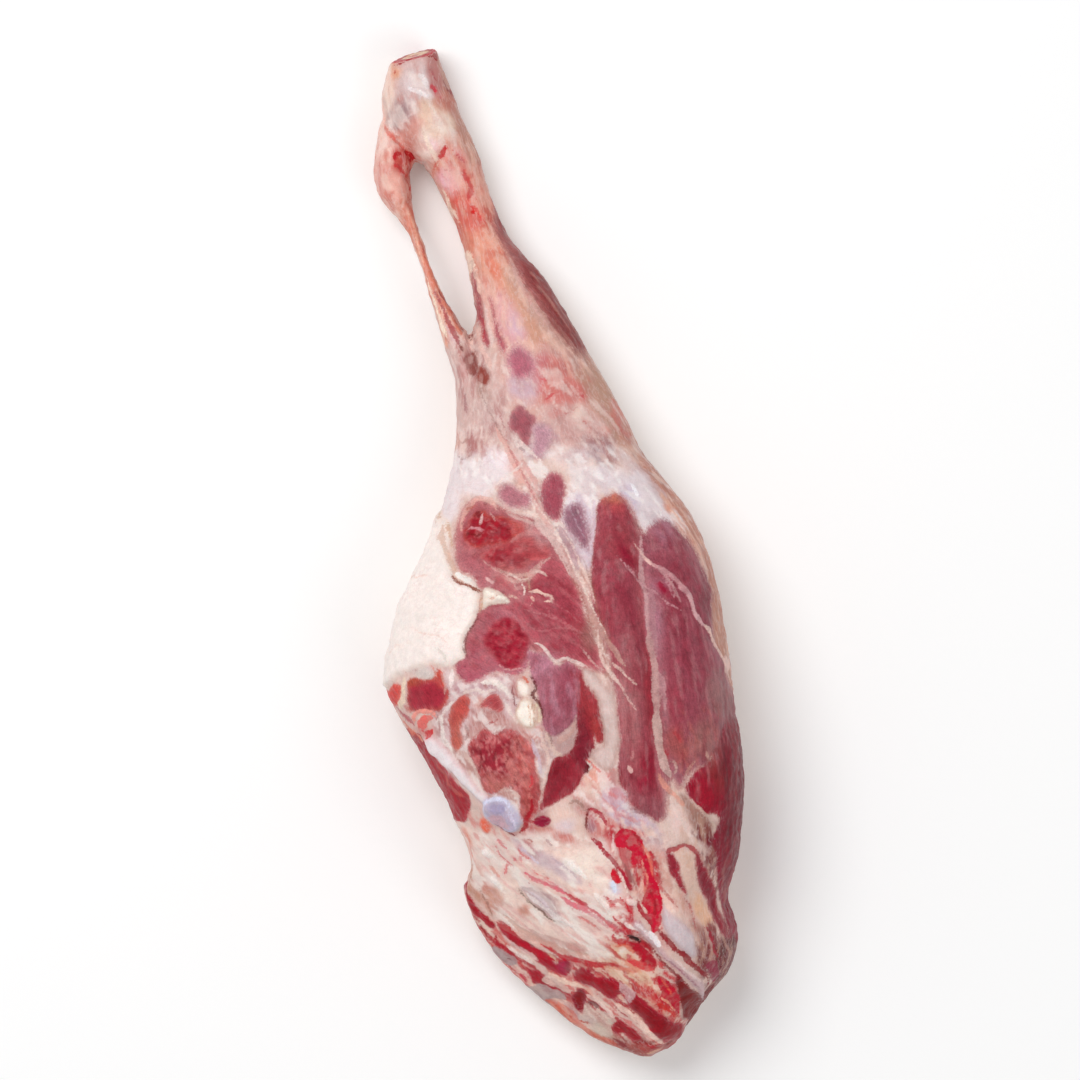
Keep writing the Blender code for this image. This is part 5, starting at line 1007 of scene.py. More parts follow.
    (DEEP, (222, 110, 120), 0.6, 1.2, 1.2, -0.1, "-18.5 -150.5, -18 -155"),
    (DEEP, (224, 116, 96), 0.6, 1.4, 1.2, -0.1, "-34 -157, -31 -160.5, -28 -163"),
    (DEEP, (222, 108, 80), 0.6, 1.6, 1.4, 0, "-46 -142, -44.5 -149, -42.5 -156"),
    (DEEP, (222, 90, 110), 0.85, 1.4, 2.4, -0.3, "-17 -159.5, -12 -162.5, -6 -165.5, 0 -168.5, 5 -171"),
    (OVER, (198, 164, 166), 0.6, 0, 0, -0.2, "-18 -167, -11 -169, -3 -175, 0 -181, -5 -182, -12 -177"),
    (THREAD, (228, 214, 222), 0.5, 1.2, 2.0, 0.2, "-15 -169, -9 -173, -4 -178"),
    (DEEP, (222, 120, 132), 0.7, 1.0, 1.4, -0.2, "-8 -163.5, -3 -165, 1 -168"),
    (DEEP, (200, 30, 58), 0.9, 1.6, 2.4, -0.3, "3 -169.5, 8 -172.5, 12 -174.5, 15.5 -177.5"),
    (DEEP, (228, 96, 116), 0.85, 2.0, 3.0, -0.1, "1.5 -172, 6 -174.5, 11 -177, 16 -179.5"),
    (DEEP, (206, 60, 80), 0.8, 1.4, 1.8, -0.2, "15 -177, 20 -181, 25 -185, 30 -189"),
    (DEEP, (214, 84, 92), 0.75, 1.0, 1.4, -0.2, "-20 -147, -17 -151, -13 -153"),
    (DEEP, (218, 90, 96), 0.75, 1.0, 1.4, -0.2, "-31 -146, -29 -151, -26 -154, -22 -157"),
    (DEEP, (220, 100, 104), 0.7, 0.9, 1.2, -0.2, "-12 -158, -9 -161, -4 -163"),
    (DEEP, (214, 90, 90), 0.7, 1.4, 1.0, -0.2, "10 -181, 16 -185, 21 -189"),
    (THREAD, (253, 243, 238), 0.7, 3.0, 2.4, 0.6, "5 -153, 10 -158, 15 -163"),
    (THREAD, (253, 243, 238), 0.7, 2.4, 3.0, 0.6, "-38 -149, -33 -153"),
    (THREAD, (250, 238, 232), 0.7, 2.6, 2.0, 0.5, "18 -170, 23 -175, 26 -180"),
    (THREAD, (250, 240, 236), 0.6, 2.0, 3.0, 0.5, "-16 -170, -9 -176, 0 -182, 8 -187"),
    (THREAD, (226, 230, 248), 0.9, 2.6, 2.0, 0.6, "26.5 -163.5, 28 -167, 28.5 -169.5"),
    (DEEP, (196, 80, 90), 0.7, 1.2, 1.2, -0.2, "6.5 -178, 8.5 -177.5"),
    (DEEP, (178, 60, 84), 0.8, 1.8, 1.8, -0.2, "-14.6 -165, -14 -165.6"),
    (DEEP, (190, 70, 90), 0.8, 1.4, 1.4, -0.2, "1 -169, 2 -168.6"),
    (DEEP, (212, 128, 140), 0.6, 1.2, 1.2, -0.2, "14 -179, 20 -183, 26 -188"),
    (DEEP, (120, 92, 78), 0.85, 0.8, 1.2, -0.8, "-19 -168, -17 -172, -13 -176, -8 -180, -4 -183, 0 -184.6"),
    (DEEP, (160, 110, 96), 0.65, 0.8, 1.0, -0.4, "-39 -168, -37 -173, -34 -178, -32 -184"),
    (DEEP, (196, 168, 178), 0.6, 1.4, 1.2, -0.1, "-4 -151, 4 -157, 10 -163"),
    (DEEP, (176, 132, 134), 0.65, 1.2, 1.0, -0.2, "-7 -142, -4.5 -144.5, -3 -147"),
    (DEEP, (170, 70, 62), 0.8, 1.4, 1.2, -0.4, "-15 -142.5, -12 -144"),
    (DEEP, (222, 100, 110), 0.6, 1.4, 1.2, -0.1, "15.5 -164, 17 -167"),
    (THREAD, (222, 208, 222), 0.75, 1.2, 1.2, 0.3, "-19 -147, -14 -150.5, -9 -155"),
    # painted highlight: a whitish line where the light catches the pelvis
    (THREAD, (250, 238, 232), 0.7, 3.0, 2.0, 0.4, "-33 -162, -29 -166.5, -26.5 -169"),
    # painted shadow: soft warm dark lines under the roll of flesh
    (DEEP, (206, 158, 144), 0.65, 2.4, 3.2, -0.6,
     "-27 -182, -20 -188, -12 -192.5, -3 -197, 6 -200.5, 16 -201.5"),
    (DEEP, (202, 152, 144), 0.6, 2.6, 3.0, -0.3, "-14 -189, -5 -193.5, 4 -196.5, 12 -198.5"),
    (DEEP, (196, 140, 130), 0.4, 0.8, 1.0, -0.3, "-24 -181, -20 -185, -15 -188"),
    (OVER, (236, 192, 178), 0.7, 2.0, 2.0, 0.5, "-34 -183, -28 -187.5, -20 -192, -12 -196, -6 -197.5"),
    # between the hip and the spine
    (DEEP, (120, 24, 36), 0.9, 1.4, 1.4, -0.8, "15.5 -127, 14.2 -131, 13.8 -135, 15 -139"),
    (DEEP, (176, 36, 58), 0.9, 1.8, 2.4, -0.7, "15.5 -127.5, 19.5 -128.5, 22.5 -132, 24 -136"),
    (DEEP, (172, 24, 54), 0.95, 2.0, 3.4, -0.5, "16 -141, 20 -145, 24 -150, 29 -156, 33 -162, 37 -168.5"),
    (OVER, (236, 206, 204), 0.8, 1.2, 1.4, 0.3, "27.5 -139, 27.5 -144, 27 -149"),
    (DEEP, (200, 14, 58), 1, 0, 0, -0.4,
     "28 -141, 31 -138, 36 -137.5, 40 -140, 42.5 -144, 43.5 -150, 46.5 -156, 48.5 -162, 50.5 -168, 52 -176,"
     "51.5 -183, 50 -188, 47 -189, 46 -184, 43.5 -179, 41.5 -174, 43 -168, 42 -163, 42 -158, 40 -154,"
     "39 -156, 36.5 -155, 36.5 -149, 33 -146.5, 30 -147.5, 28.5 -145"),
    (OVER, (196, 108, 108), 0.8, 0, 0, -0.2, "31 -147, 35 -147.5, 37 -151, 37.5 -156, 35 -158, 32 -152"),
    (THREAD, (244, 140, 116), 0.6, 1.6, 1.2, 0.2, "42 -145, 44.5 -150, 46 -156, 48 -163"),
    (THREAD, (240, 160, 140), 0.65, 0.9, 1.4, 0.3, "43.5 -158, 44.5 -163, 43.5 -168, 42 -171"),
    (THREAD, (156, 8, 40), 0.7, 1.2, 2.0, -0.3, "46 -168, 48 -174, 48.5 -182"),
    (THREAD, (160, 10, 44), 0.7, 1.4, 1.0, -0.3, "37 -139.5, 40 -142, 41 -146"),
    (THREAD, (190, 60, 80), 0.8, 1.6, 1.2, 0.2, "31 -142, 33.5 -143.5"),
    (DEEP, (196, 30, 54), 0.9, 1.6, 1.2, -0.3, "45 -148, 48 -155, 50.5 -163"),
    (THREAD, (240, 170, 156), 0.7, 0.9, 1.2, 0.3, "41 -152, 42.5 -158, 42 -164, 43 -170"),
    (THREAD, (226, 60, 70), 0.7, 1.2, 1.0, 0.2, "45.5 -172, 47 -176, 46.5 -180"),
    (DEEP, (204, 8, 50), 1, 0, 0, -0.3, "27.5 -157, 30 -160, 31.5 -164.5, 29.5 -165, 26.5 -162, 26.3 -160"),
    (THREAD, (246, 220, 210), 0.85, 0.9, 1.4, 0.4, "29.5 -157, 32.5 -163, 35 -170"),
    (THREAD, (244, 214, 200), 0.85, 1.2, 1.4, 0.5, "41 -174, 43 -177, 44.5 -180"),
    (THREAD, (240, 210, 204), 0.85, 1.6, 2.0, 0.6, "33.5 -172, 36 -175, 39.5 -173.5"),
    (DEEP, (200, 24, 52), 0.9, 1.4, 1.8, -0.3, "30 -171, 32.5 -174, 35 -178, 38 -181"),
    (DEEP, (196, 30, 56), 0.8, 1.2, 1.4, -0.2, "22 -171, 25 -173, 28 -176"),
    (THREAD, (246, 228, 222), 0.85, 1.4, 1.8, 0.6, "33 -184, 36.5 -186.5, 40 -188.5"),
    (THREAD, (240, 214, 206), 0.8, 1.2, 1.4, 0.5, "28 -176.5, 31 -179.5, 34 -183"),
    (DEEP, (190, 20, 52), 0.85, 1.2, 1.8, -0.2, "27 -181, 31 -185, 34.5 -188"),
    (DEEP, (176, 20, 52), 0.95, 2.8, 3.0, -0.6, "39 -172, 41 -177, 45 -182, 49 -187"),
    (DEEP, (206, 90, 92), 0.75, 1.8, 1.4, -0.2, "24.5 -177, 27 -174, 30 -173, 33 -176, 37 -178.5"),
    (DEEP, (176, 60, 82), 0.75, 0.9, 1.2, -0.3, "23 -182.5, 27 -185, 31 -188.5, 34 -190.5"),
    (DEEP, (200, 40, 54), 0.85, 1.0, 1.4, -0.3, "29 -189, 27.5 -192, 29 -195, 33 -196, 34.5 -193"),
    (DEEP, (182, 84, 84), 0.7, 1.2, 1.4, -0.3, "48 -152, 50 -159, 52 -167, 55.5 -172.5, 60 -177"),
    (DEEP, (166, 50, 60), 0.85, 2.0, 2.6, -0.5, "53 -150, 55 -148, 59 -147, 62 -145.5, 66 -147, 70 -152"),
    (DEEP, (176, 70, 74), 0.65, 0.9, 1.0, -0.3, "62 -170, 65 -175, 67 -181, 69 -188"),
    (DEEP, (150, 12, 44), 0.95, 2.8, 3.0, -0.8,
     "49.5 -187, 53 -192, 58 -197, 62 -200.5, 66 -205, 71 -209, 75 -213"),
    (DEEP, (170, 40, 60), 0.85, 0.9, 1.6, -0.4, "73 -186, 76 -189, 77 -194, 78 -199.5, 80 -202.5"),
    (DEEP, (150, 36, 66), 0.85, 0, 0, -0.2, "73 -206, 77 -203.5, 80 -206, 79 -211, 75 -210"),
    # a white sinew, made brighter as a painted highlight on its wet surface
    (THREAD, (248, 240, 242), 0.9, 2.4, 3.2, 0.5, "45 -188, 48 -192, 51 -196.5"),
    (THREAD, (240, 222, 222), 0.8, 1.6, 1.8, 0.4, "38.5 -184, 42 -186.5, 45 -190"),
    (THREAD, (150, 74, 92), 0.65, 0.8, 0.9, -0.3, "50 -199, 57 -205, 64 -211.5, 70 -217"),
    (THREAD, (232, 208, 206), 0.7, 1.2, 1.4, 0.3, "58 -203, 64 -209, 72 -215"),
    (DEEP, (140, 28, 44), 0.85, 0.9, 1.8, -0.7, "42 -193, 48 -200, 54 -206.5, 60 -212, 66 -218"),
    (DEEP, (40, 0, 8), 1, 2.0, 3.0, -1.0, "35 -191, 37.8 -192.6, 40.5 -195"),
    (DEEP, (182, 12, 50), 1, 0, 0, -0.5,
     "36 -194, 39 -195, 43 -197.5, 46.5 -201, 48.5 -205, 48 -208.5, 45 -206, 42 -205.5, 40 -202,"
     "37.5 -199"),
    (DEEP, (160, 20, 44), 0.85, 1.2, 1.6, -0.5, "40 -192, 43.5 -196, 47 -201"),
    (DEEP, (226, 96, 70), 0.65, 2.0, 1.6, 0, "29 -197, 33 -196, 36 -198, 38 -201"),
    (DEEP, (212, 56, 66), 0.9, 2.6, 3.2, -0.1, "34 -203, 38 -205, 43 -207, 47 -209"),
    (DEEP, (196, 16, 54), 1, 0, 0, -0.3,
     "49.5 -211, 54 -213, 58 -217, 61 -221, 60.5 -227, 60 -231, 57 -229, 54 -225.5, 51 -222, 52 -219,"
     "50 -216"),
    (THREAD, (240, 176, 150), 0.75, 0.9, 1.4, 0.3, "51 -221, 55 -225, 59 -230"),
    (THREAD, (232, 110, 90), 0.7, 0.9, 1.0, 0.2, "51 -213, 55 -217, 58 -222"),
    (DEEP, (210, 50, 46), 0.9, 2.2, 2.6, -0.2, "49 -225, 53 -227, 56.5 -230, 59 -233"),
    # bottom cut
    (DEEP, (182, 20, 50), 0.9, 3.0, 3.2, -0.2,
     "-31 -185.5, -24 -190.5, -18 -195.5, -12 -199.5, -5 -202.5, 2 -204.5"),
    (THREAD, (234, 200, 194), 0.8, 1.4, 2.0, 0.3, "-28 -191.5, -21 -197, -15 -201, -9 -204"),
    (OVER, (180, 158, 158), 0.85, 0, 0, 0.2,
     "-33 -199, -28 -199, -22 -202.5, -20 -206, -24 -208, -30 -206, -36 -204"),
    (OVER, (180, 158, 156), 0.85, 0, 0, 0.2,
     "-13 -218, -7 -216.5, -2 -219, 3 -221, 4 -224, -2 -224, -8 -226, -14 -222"),
    (OVER, (214, 192, 180), 0.65, 0, 0, 0.2,
     "14 -226, 18 -229, 24 -230, 27 -232, 30 -235, 26 -237, 28 -242, 22 -243, 18 -240, 12 -238, 10 -233,"
     "13 -231"),
    (OVER, (218, 194, 194), 0.5, 0, 0, 0.3,
     "31 -215, 35 -217, 38.5 -220, 38 -223, 36 -225.5, 33.5 -222, 31.5 -220"),
    (OVER, (232, 206, 194), 0.7, 0, 0, 0.4, "-4 -212, 4 -215, 10 -218, 6 -221, -2 -217, -8 -214"),
    (OVER, (208, 98, 78), 0.6, 0, 0, 0.1,
     "-9 -224.5, 0 -225.5, 8 -230.5, 13 -236, 20 -242, 30 -247, 34 -258, 14 -254, -6 -240"),
    (OVER, (168, 84, 78), 0.6, 0, 0, 0.2,
     "36 -247, 42 -246, 47 -248, 53 -247, 58 -246, 60 -249, 50 -253, 40 -251"),
    (DEEP, (190, 26, 48), 0.9, 1.2, 3.2, -0.2, "-9 -196, -4 -198.5, 1 -202, 8 -203.8, 14 -205.3"),
    (DEEP, (190, 28, 48), 0.9, 3.2, 2.4, -0.2, "12 -205, 18 -206, 26 -206.5, 31 -207"),
    (DEEP, (222, 128, 108), 0.65, 2.0, 2.6, 0, "22 -207, 30 -208, 40 -209.5"),
    (THREAD, (212, 150, 148), 0.6, 0.8, 0.8, 0.1, "7.5 -206, 8 -210, 9 -213"),
    (THREAD, (206, 150, 146), 0.6, 0.8, 0.8, 0.1, "10.5 -205.5, 10.5 -209"),
    (DEEP, (172, 28, 50), 0.9, 1.2, 1.6, -0.3, "-32 -192, -29.5 -196.5, -25 -199, -20.5 -203.5"),
    (DEEP, (150, 24, 36), 0.85, 1.4, 1.2, -0.1, "-39 -187, -36 -192, -34.5 -195"),
    (DEEP, (150, 30, 40), 0.8, 1.2, 1.2, -0.1, "-33.5 -199.5, -31 -203.5"),
    (DEEP, (150, 96, 100), 0.7, 1.2, 1.4, -0.3, "-19 -195.5, -12 -197.5"),
    (THREAD, (240, 220, 212), 0.85, 1.6, 2.0, 0.4, "-25 -197, -19 -201.5, -12 -206"),
    (THREAD, (240, 208, 190), 0.85, 2.0, 2.8, 0.5, "-5 -210.5, 0 -213, 6 -216, 14 -218.5"),
    (THREAD, (232, 196, 168), 0.8, 1.0, 1.0, 0.2, "-5 -201, 0 -204.5"),
    (DEEP, (120, 70, 74), 0.7, 1.6, 1.4, -0.2, "-26 -203.5, -23 -205.5"),
    (DEEP, (90, 50, 56), 0.7, 1.4, 1.4, -0.2, "-18.4 -202, -17.8 -202.4"),
    (DEEP, (196, 30, 66), 0.85, 1.6, 2.0, -0.1, "-19 -211, -16.5 -213, -15 -216"),
    (DEEP, (218, 84, 84), 0.8, 1.8, 2.2, 0, "4 -215, 6 -217.5, 8 -220"),
    (DEEP, (196, 40, 58), 0.85, 1.6, 1.2, -0.2, "19.5 -220.5, 21.5 -221"),
    (DEEP, (120, 70, 72), 0.8, 2.2, 2.0, -0.5, "15 -226.5, 17.5 -226, 20.5 -228.5"),
    (THREAD, (238, 210, 200), 0.8, 2.0, 2.4, 0.4, "14 -222, 19 -224, 24 -228, 29 -233"),
    (THREAD, (242, 208, 194), 0.9, 2.4, 3.0, 0.6, "29 -225, 34 -229.5, 40 -234, 46 -241, 52 -246"),
    (DEEP, (222, 92, 88), 0.75, 1.8, 1.6, -0.1, "44.5 -240.5, 47 -243, 50 -246"),
    (DEEP, (190, 74, 60), 0.85, 1.0, 1.4, 0, "10.5 -234.5, 13.5 -236, 16.5 -236.5"),
    (DEEP, (140, 50, 54), 0.85, 1.6, 3.0, -0.2, "27.5 -243.5, 31 -245.5, 35 -248"),
    (THREAD, (206, 110, 110), 0.8, 2.0, 1.4, 0.1, "30 -237.5, 32 -238.5"),
    (DEEP, (170, 28, 44), 0.85, 1.6, 1.8, -0.1, "56 -246, 59 -243.5, 61.5 -240"),
    (THREAD, (226, 176, 150), 0.7, 1.6, 1.2, 0.2, "43 -252, 48 -251, 52 -252"),
    (OVER, (196, 168, 158), 0.7, 1.2, 1.0, 0.2, "61 -224, 61.5 -230, 60.5 -236"),
    # front of the chump
    (THREAD, (214, 184, 170), 0.8, 1.2, 1.4, 0.4, "66 -124, 72 -129.5, 77 -133.5, 78 -139"),
    (THREAD, (234, 206, 198), 0.75, 1.4, 1.8, 0.3, "56 -124, 60 -131, 64 -138, 67 -145"),
    (THREAD, (176, 120, 110), 0.6, 1.0, 1.0, 0.2, "74 -148, 77 -155, 80 -163, 81.5 -172"),
    (THREAD, (168, 104, 100), 0.6, 1.0, 1.0, 0.2, "84 -150, 85 -160, 84.5 -172, 87 -184"),
    (DEEP, (150, 70, 70), 0.7, 1.2, 1.0, -0.3, "74.5 -184, 78 -189, 81 -195"),
    (THREAD, (196, 150, 136), 0.6, 1.2, 1.0, 0.2, "81 -190, 84 -197, 84 -204"),
    # dark marks on the lower right edge: the muscle's own deep red, darkened further as painted shade
    (DEEP, (80, 26, 34), 0.8, 1.6, 1.8, -0.3, "70 -219, 66 -223, 64 -229"),
    (DEEP, (130, 4, 28), 0.8, 0, 0, -0.3,
     "60 -214, 66 -218, 74 -218, 78 -215, 76 -224, 68 -234, 63 -238, 62 -228"),
)  # fmt: skip


# ---------------------------------------------------------------- painting


def points_of(text):
    """The pairs of numbers in "x y, x y, ..."."""
    return [tuple(float(value) for value in pair.split()) for pair in text.split(",")]


def waver(places, seed):
    """A small wandering of every outline, in mm."""
    return 0.4 * noise(places, 11.0, seed, 2) + 0.3 * noise(places, 3.2, seed + 5, 2)


class Painting:
    """What lies at each vertex: lean and pale tissue, the depth inside the lean, and layers of marks."""

    def __init__(self, places, normals):
        count = len(places)
        self.places = places
        # Outlines wander further on steep sides, where they would else run straight down.
        steep = 1 - ease(0.15, 0.6, normals[:, 2])
        self.x = places[:, 0] + waver(places, 40) + 5 * steep * noise(places, 20.0, 110, 3)
        self.y = places[:, 1] + waver(places, 50) + 8 * steep * noise(places, 24.0, 120, 3)
        self.ragged = noise(places, 4.0, 90, 3)
        self.lumps = noise(places, 5.5, 70, 3)
        self.top = ease(-0.6, -0.15, normals[:, 2] + 0.3 * noise(places, 16.0, 130, 3))
        self.lean_depth = np.full(count, -REACH)
        self.tones = {
            LEAN: np.tile(linear(PLAIN_LEAN), (count, 1)),
            PALE: np.tile(linear(PLAIN_PALE), (count, 1)),
        }
        self.depths = {layer: np.full(count, -REACH) for layer in MARKS}
        self.marks = {layer: np.zeros((count, 4)) for layer in MARKS}
        self.rise = np.zeros(count)
        self.heading = np.full(count, USUAL_HEADING)

    def blend(self, layer, tone, share):
        """Turns a layer into a tone, by a share for each vertex."""
        self.tones[layer] += (tone - self.tones[layer]) * share[:, None]

    def ground(self, tone, strength, soft, outline):
        """A soft area of one tone in the pale tissue."""
        depth = depth_inside(self.x, self.y, points_of(outline)) + 0.4 * soft * self.ragged
        self.blend(PALE, linear(tone), strength * ease(-soft, soft, depth))

    def stain(self, layer, x, y, half_length, half_width, heading, tone, strength):
        """An uneven oval that fades out."""
        along, across = turned(self.x - x, self.y - y, heading)
        reach = (along / half_length) ** 2 + (across / half_width) ** 2
        reach = reach * np.clip(1 + 0.5 * self.lumps, 0.2, 2)
        self.blend(layer, linear(tone), strength * np.exp(-(reach**1.5) * 0.7))

    def streak(self, seed, layer, tone, strength, heading, length, width, low, high, outline):
        """Strands of a tone inside an outline, drawn out along a heading."""
        depth = depth_inside(self.x, self.y, points_of(outline))
        near = depth > -STREAK_RIM
        along, across = turned(self.x[near], self.y[near], heading)
        stretched = np.stack([along * (width / length), across, self.places[near, 2]], 1)
        level = noise(stretched, width, seed, 3)
        share = np.zeros(len(depth))
        share[near] = strength * ease(low, high, level) * ease(-STREAK_RIM, STREAK_RIM, depth[near])
        self.blend(layer, linear(tone), share)

    def zone(self, kind, rim, inside, change, rise, lumps, heading, soft, outline):
        """A muscle, or a pale form that lies over the muscles."""
        depth = depth_inside(self.x, self.y, points_of(outline)) + 0.25 * self.ragged
        depth = np.clip(depth, -REACH, None)
        tone = linear(rim) + (linear(inside) - linear(rim)) * ease(0.0, change, depth)[:, None]
        # It blends into its own kind over 1.4 mm, and its tone reaches 4 mm under the other kind.
        own = self.lean_depth > 0 if kind == LEAN else self.lean_depth < 0
        low = np.where(own, -0.7, -4.0)
        share = np.clip((depth - low) / (0.7 - low), 0, 1)
        self.blend(kind, tone, share)
        if kind == LEAN:
            self.heading = np.where(depth > -0.4, heading, self.heading)
            self.lean_depth = np.maximum(self.lean_depth, depth / soft)
            full = max(float(depth.max()), 1.0)
            self.rise += rise * (1 - (1 - np.clip(depth / full, 0, 1)) ** 2)
        else:
            self.lean_depth = np.minimum(self.lean_depth, -depth / soft)
            self.rise += rise * ease(-0.4, 1.8, depth)
        self.rise += lumps * self.lumps * ease(0.0, 2.0, depth)

    def stroke(self, layer, tone, strength, start_width, end_width, rise, points):
        """A mark with a clear rim: in its layer, each vertex keeps the mark that it lies deepest in."""
        points = points_of(points)
        if start_width:
            depth, half = stroke_profile(self.x, self.y, points, start_width, end_width)
        else:
            depth, half = depth_inside(self.x, self.y, points), np.full(len(self.x), 1.5)
        depth = depth + 0.3 * self.ragged * np.minimum(half, 1.0)
        better = depth > self.depths[layer]
        self.marks[layer][better] = np.array([*linear(tone), strength])
        self.depths[layer] = np.maximum(self.depths[layer], depth)
        self.rise += rise * ease(-0.5, 1.0, depth / np.maximum(half, 0.8))


def paint(places, normals):
    """Everything on the side that faces up, from the soft areas to the marks with a clear rim."""
    painting = Painting(places, normals)
    for patch in GROUND:
        painting.ground(*patch)
    for kind in (PALE, LEAN):
        for stain in STAINS:
            if stain[0] == kind:
                painting.stain(*stain)
        for number, streak in enumerate(STREAKS):
            if streak[0] == kind:
                painting.streak(STREAK_SEED + 7 * number, *streak)
        if kind == PALE:
            for zone in ZONES:
                painting.zone(*zone)
    for stroke in STROKES:
        painting.stroke(*stroke)
    return painting


def paint_outer_side(painting):
    """The side that lies down, which no outline covers: fell and fat, with muscle showing through."""
    places = painting.places
    below = 1 - painting.top
    skin_tone, fat_tone, pink_tone = map(linear, ((226, 190, 172), (240, 220, 206), (206, 142, 128)))
    fat = ease(-0.4, 0.7, noise(places, 46.0, 300, 3))
    pink = 0.6 * ease(0.1, 0.9, noise(places, 30.0, 320, 3))
    fell = skin_tone + (fat_tone - skin_tone) * fat[:, None]
    fell += (pink_tone - fell) * pink[:, None]
    painting.blend(PALE, fell, below)
    open_muscle = 7 * (noise(places, 34.0, 340, 3) - 0.55)
    painting.lean_depth = painting.lean_depth * painting.top + open_muscle * below
    for layer in MARKS:
        painting.depths[layer] = painting.depths[layer] * painting.top - REACH * below
    painting.rise *= painting.top


def paint_sawn_end(painting, normals):
    """The sawn end of the shank: red marrow in a ring of bone, with flesh and a thin rind round it."""
    x, y, z = painting.places.T
    face = ease(0.55, 0.8, normals[:, 1]) * ease(232, 238, y)
    out_from_middle = []
    for values in (x, z):
        away = values - np.average(values, weights=face)
        half_width = 2 * np.sqrt(np.average(away**2, weights=face))
        out_from_middle.append(away / half_width)
    reach = np.hypot(*out_from_middle) + 0.06 * painting.ragged
    rings = (
        (0.0, (176, 66, 72)),
        (0.24, (206, 120, 110)),
        (0.38, (228, 198, 166)),
        (0.52, (214, 178, 142)),
        (0.6, (166, 64, 60)),
        (0.74, (176, 30, 46)),
        (0.98, (184, 46, 56)),
    )
    tones = np.array([linear(tone) for _, tone in rings])
    tone = np.stack([np.interp(reach, [at for at, _ in rings], tones[:, k]) for k in range(3)], 1)
    tone *= (1 + 0.3 * painting.lumps * (reach < 0.3))[:, None]
    painting.blend(PALE, tone, face)
    painting.lean_depth -= (painting.lean_depth + 4) * face
    for layer in MARKS:
        painting.depths[layer] -= (painting.depths[layer] + REACH) * face


HEEL_CROOK, CROOK_SHIFT, CROOK_RADIUS = (-75, 199.5), (4.5, -4.5), 7.5  # flesh by the heel bone
FLAT_BELOW = 0.6  # the face that the leg lies on stays flat up to this height, in mm
FIBRE_STRETCH = 6.25  # how much longer than wide the grain of the meat is


def drawn(places, centre, shift, radius):
    """How far each place is moved when the tissue round a centre is drawn along, in plan."""
    away = np.hypot(places[:, 0] - centre[0], places[:, 1] - centre[1]) / radius
    return np.exp(-(away**2))[:, None] * np.array([*shift, 0.0])


def store(mesh, name, values):
    """Keeps a number, a vector or a colour for each vertex under a name."""
    width = 1 if values.ndim == 1 else values.shape[1]
    kinds = {1: ("FLOAT", "value"), 3: ("FLOAT_VECTOR", "vector"), 4: ("FLOAT_COLOR", "color")}
    kind, field = kinds[width]
    attribute = mesh.attributes.new(name, kind, "POINT")
    attribute.data.foreach_set(field, values.astype(np.float32).ravel())


def with_alpha(colours):
    """The colours with a fourth value of 1."""
    return np.concatenate([colours, np.ones((len(colours), 1))], 1)


def dress(skin):
    """Moves the surface to its relief and stores what the material reads."""
    mesh = skin.data
    places, _ = read_mesh(mesh)
    normals = vertex_normals(mesh)
    places += drawn(places, HEEL_CROOK, CROOK_SHIFT, CROOK_RADIUS)
    painting = paint(places, normals)
    paint_outer_side(painting)
    paint_sawn_end(painting, normals)
    fine = 0.22 * noise(places, 3.0, 500, 2) + 0.35 * noise(places, 9.0, 520, 2)
    rise = painting.rise + fine * (0.4 + 0.6 * painting.top)
    rise[places[:, 2] < FLAT_BELOW] *= 0.1
    moved = places + normals * rise[:, None]
    moved[:, 2] = np.maximum(moved[:, 2], 0.0)
    write_places(mesh, moved)

    along, across = turned(places[:, 0], places[:, 1], painting.heading)
    store(mesh, "fibre_place", np.stack([along / FIBRE_STRETCH, across, places[:, 2]], 1) * MM)
    store(mesh, "lean_depth", np.clip(painting.lean_depth, -REACH, REACH))
    store(mesh, "lean_tone", with_alpha(painting.tones[LEAN]))
    store(mesh, "pale_tone", with_alpha(painting.tones[PALE]))
    for layer in MARKS:
        store(mesh, layer + "_depth", painting.depths[layer])
        store(mesh, layer + "_tone", painting.marks[layer])
    mesh.shade_smooth()


# ---------------------------------------------------------------- material


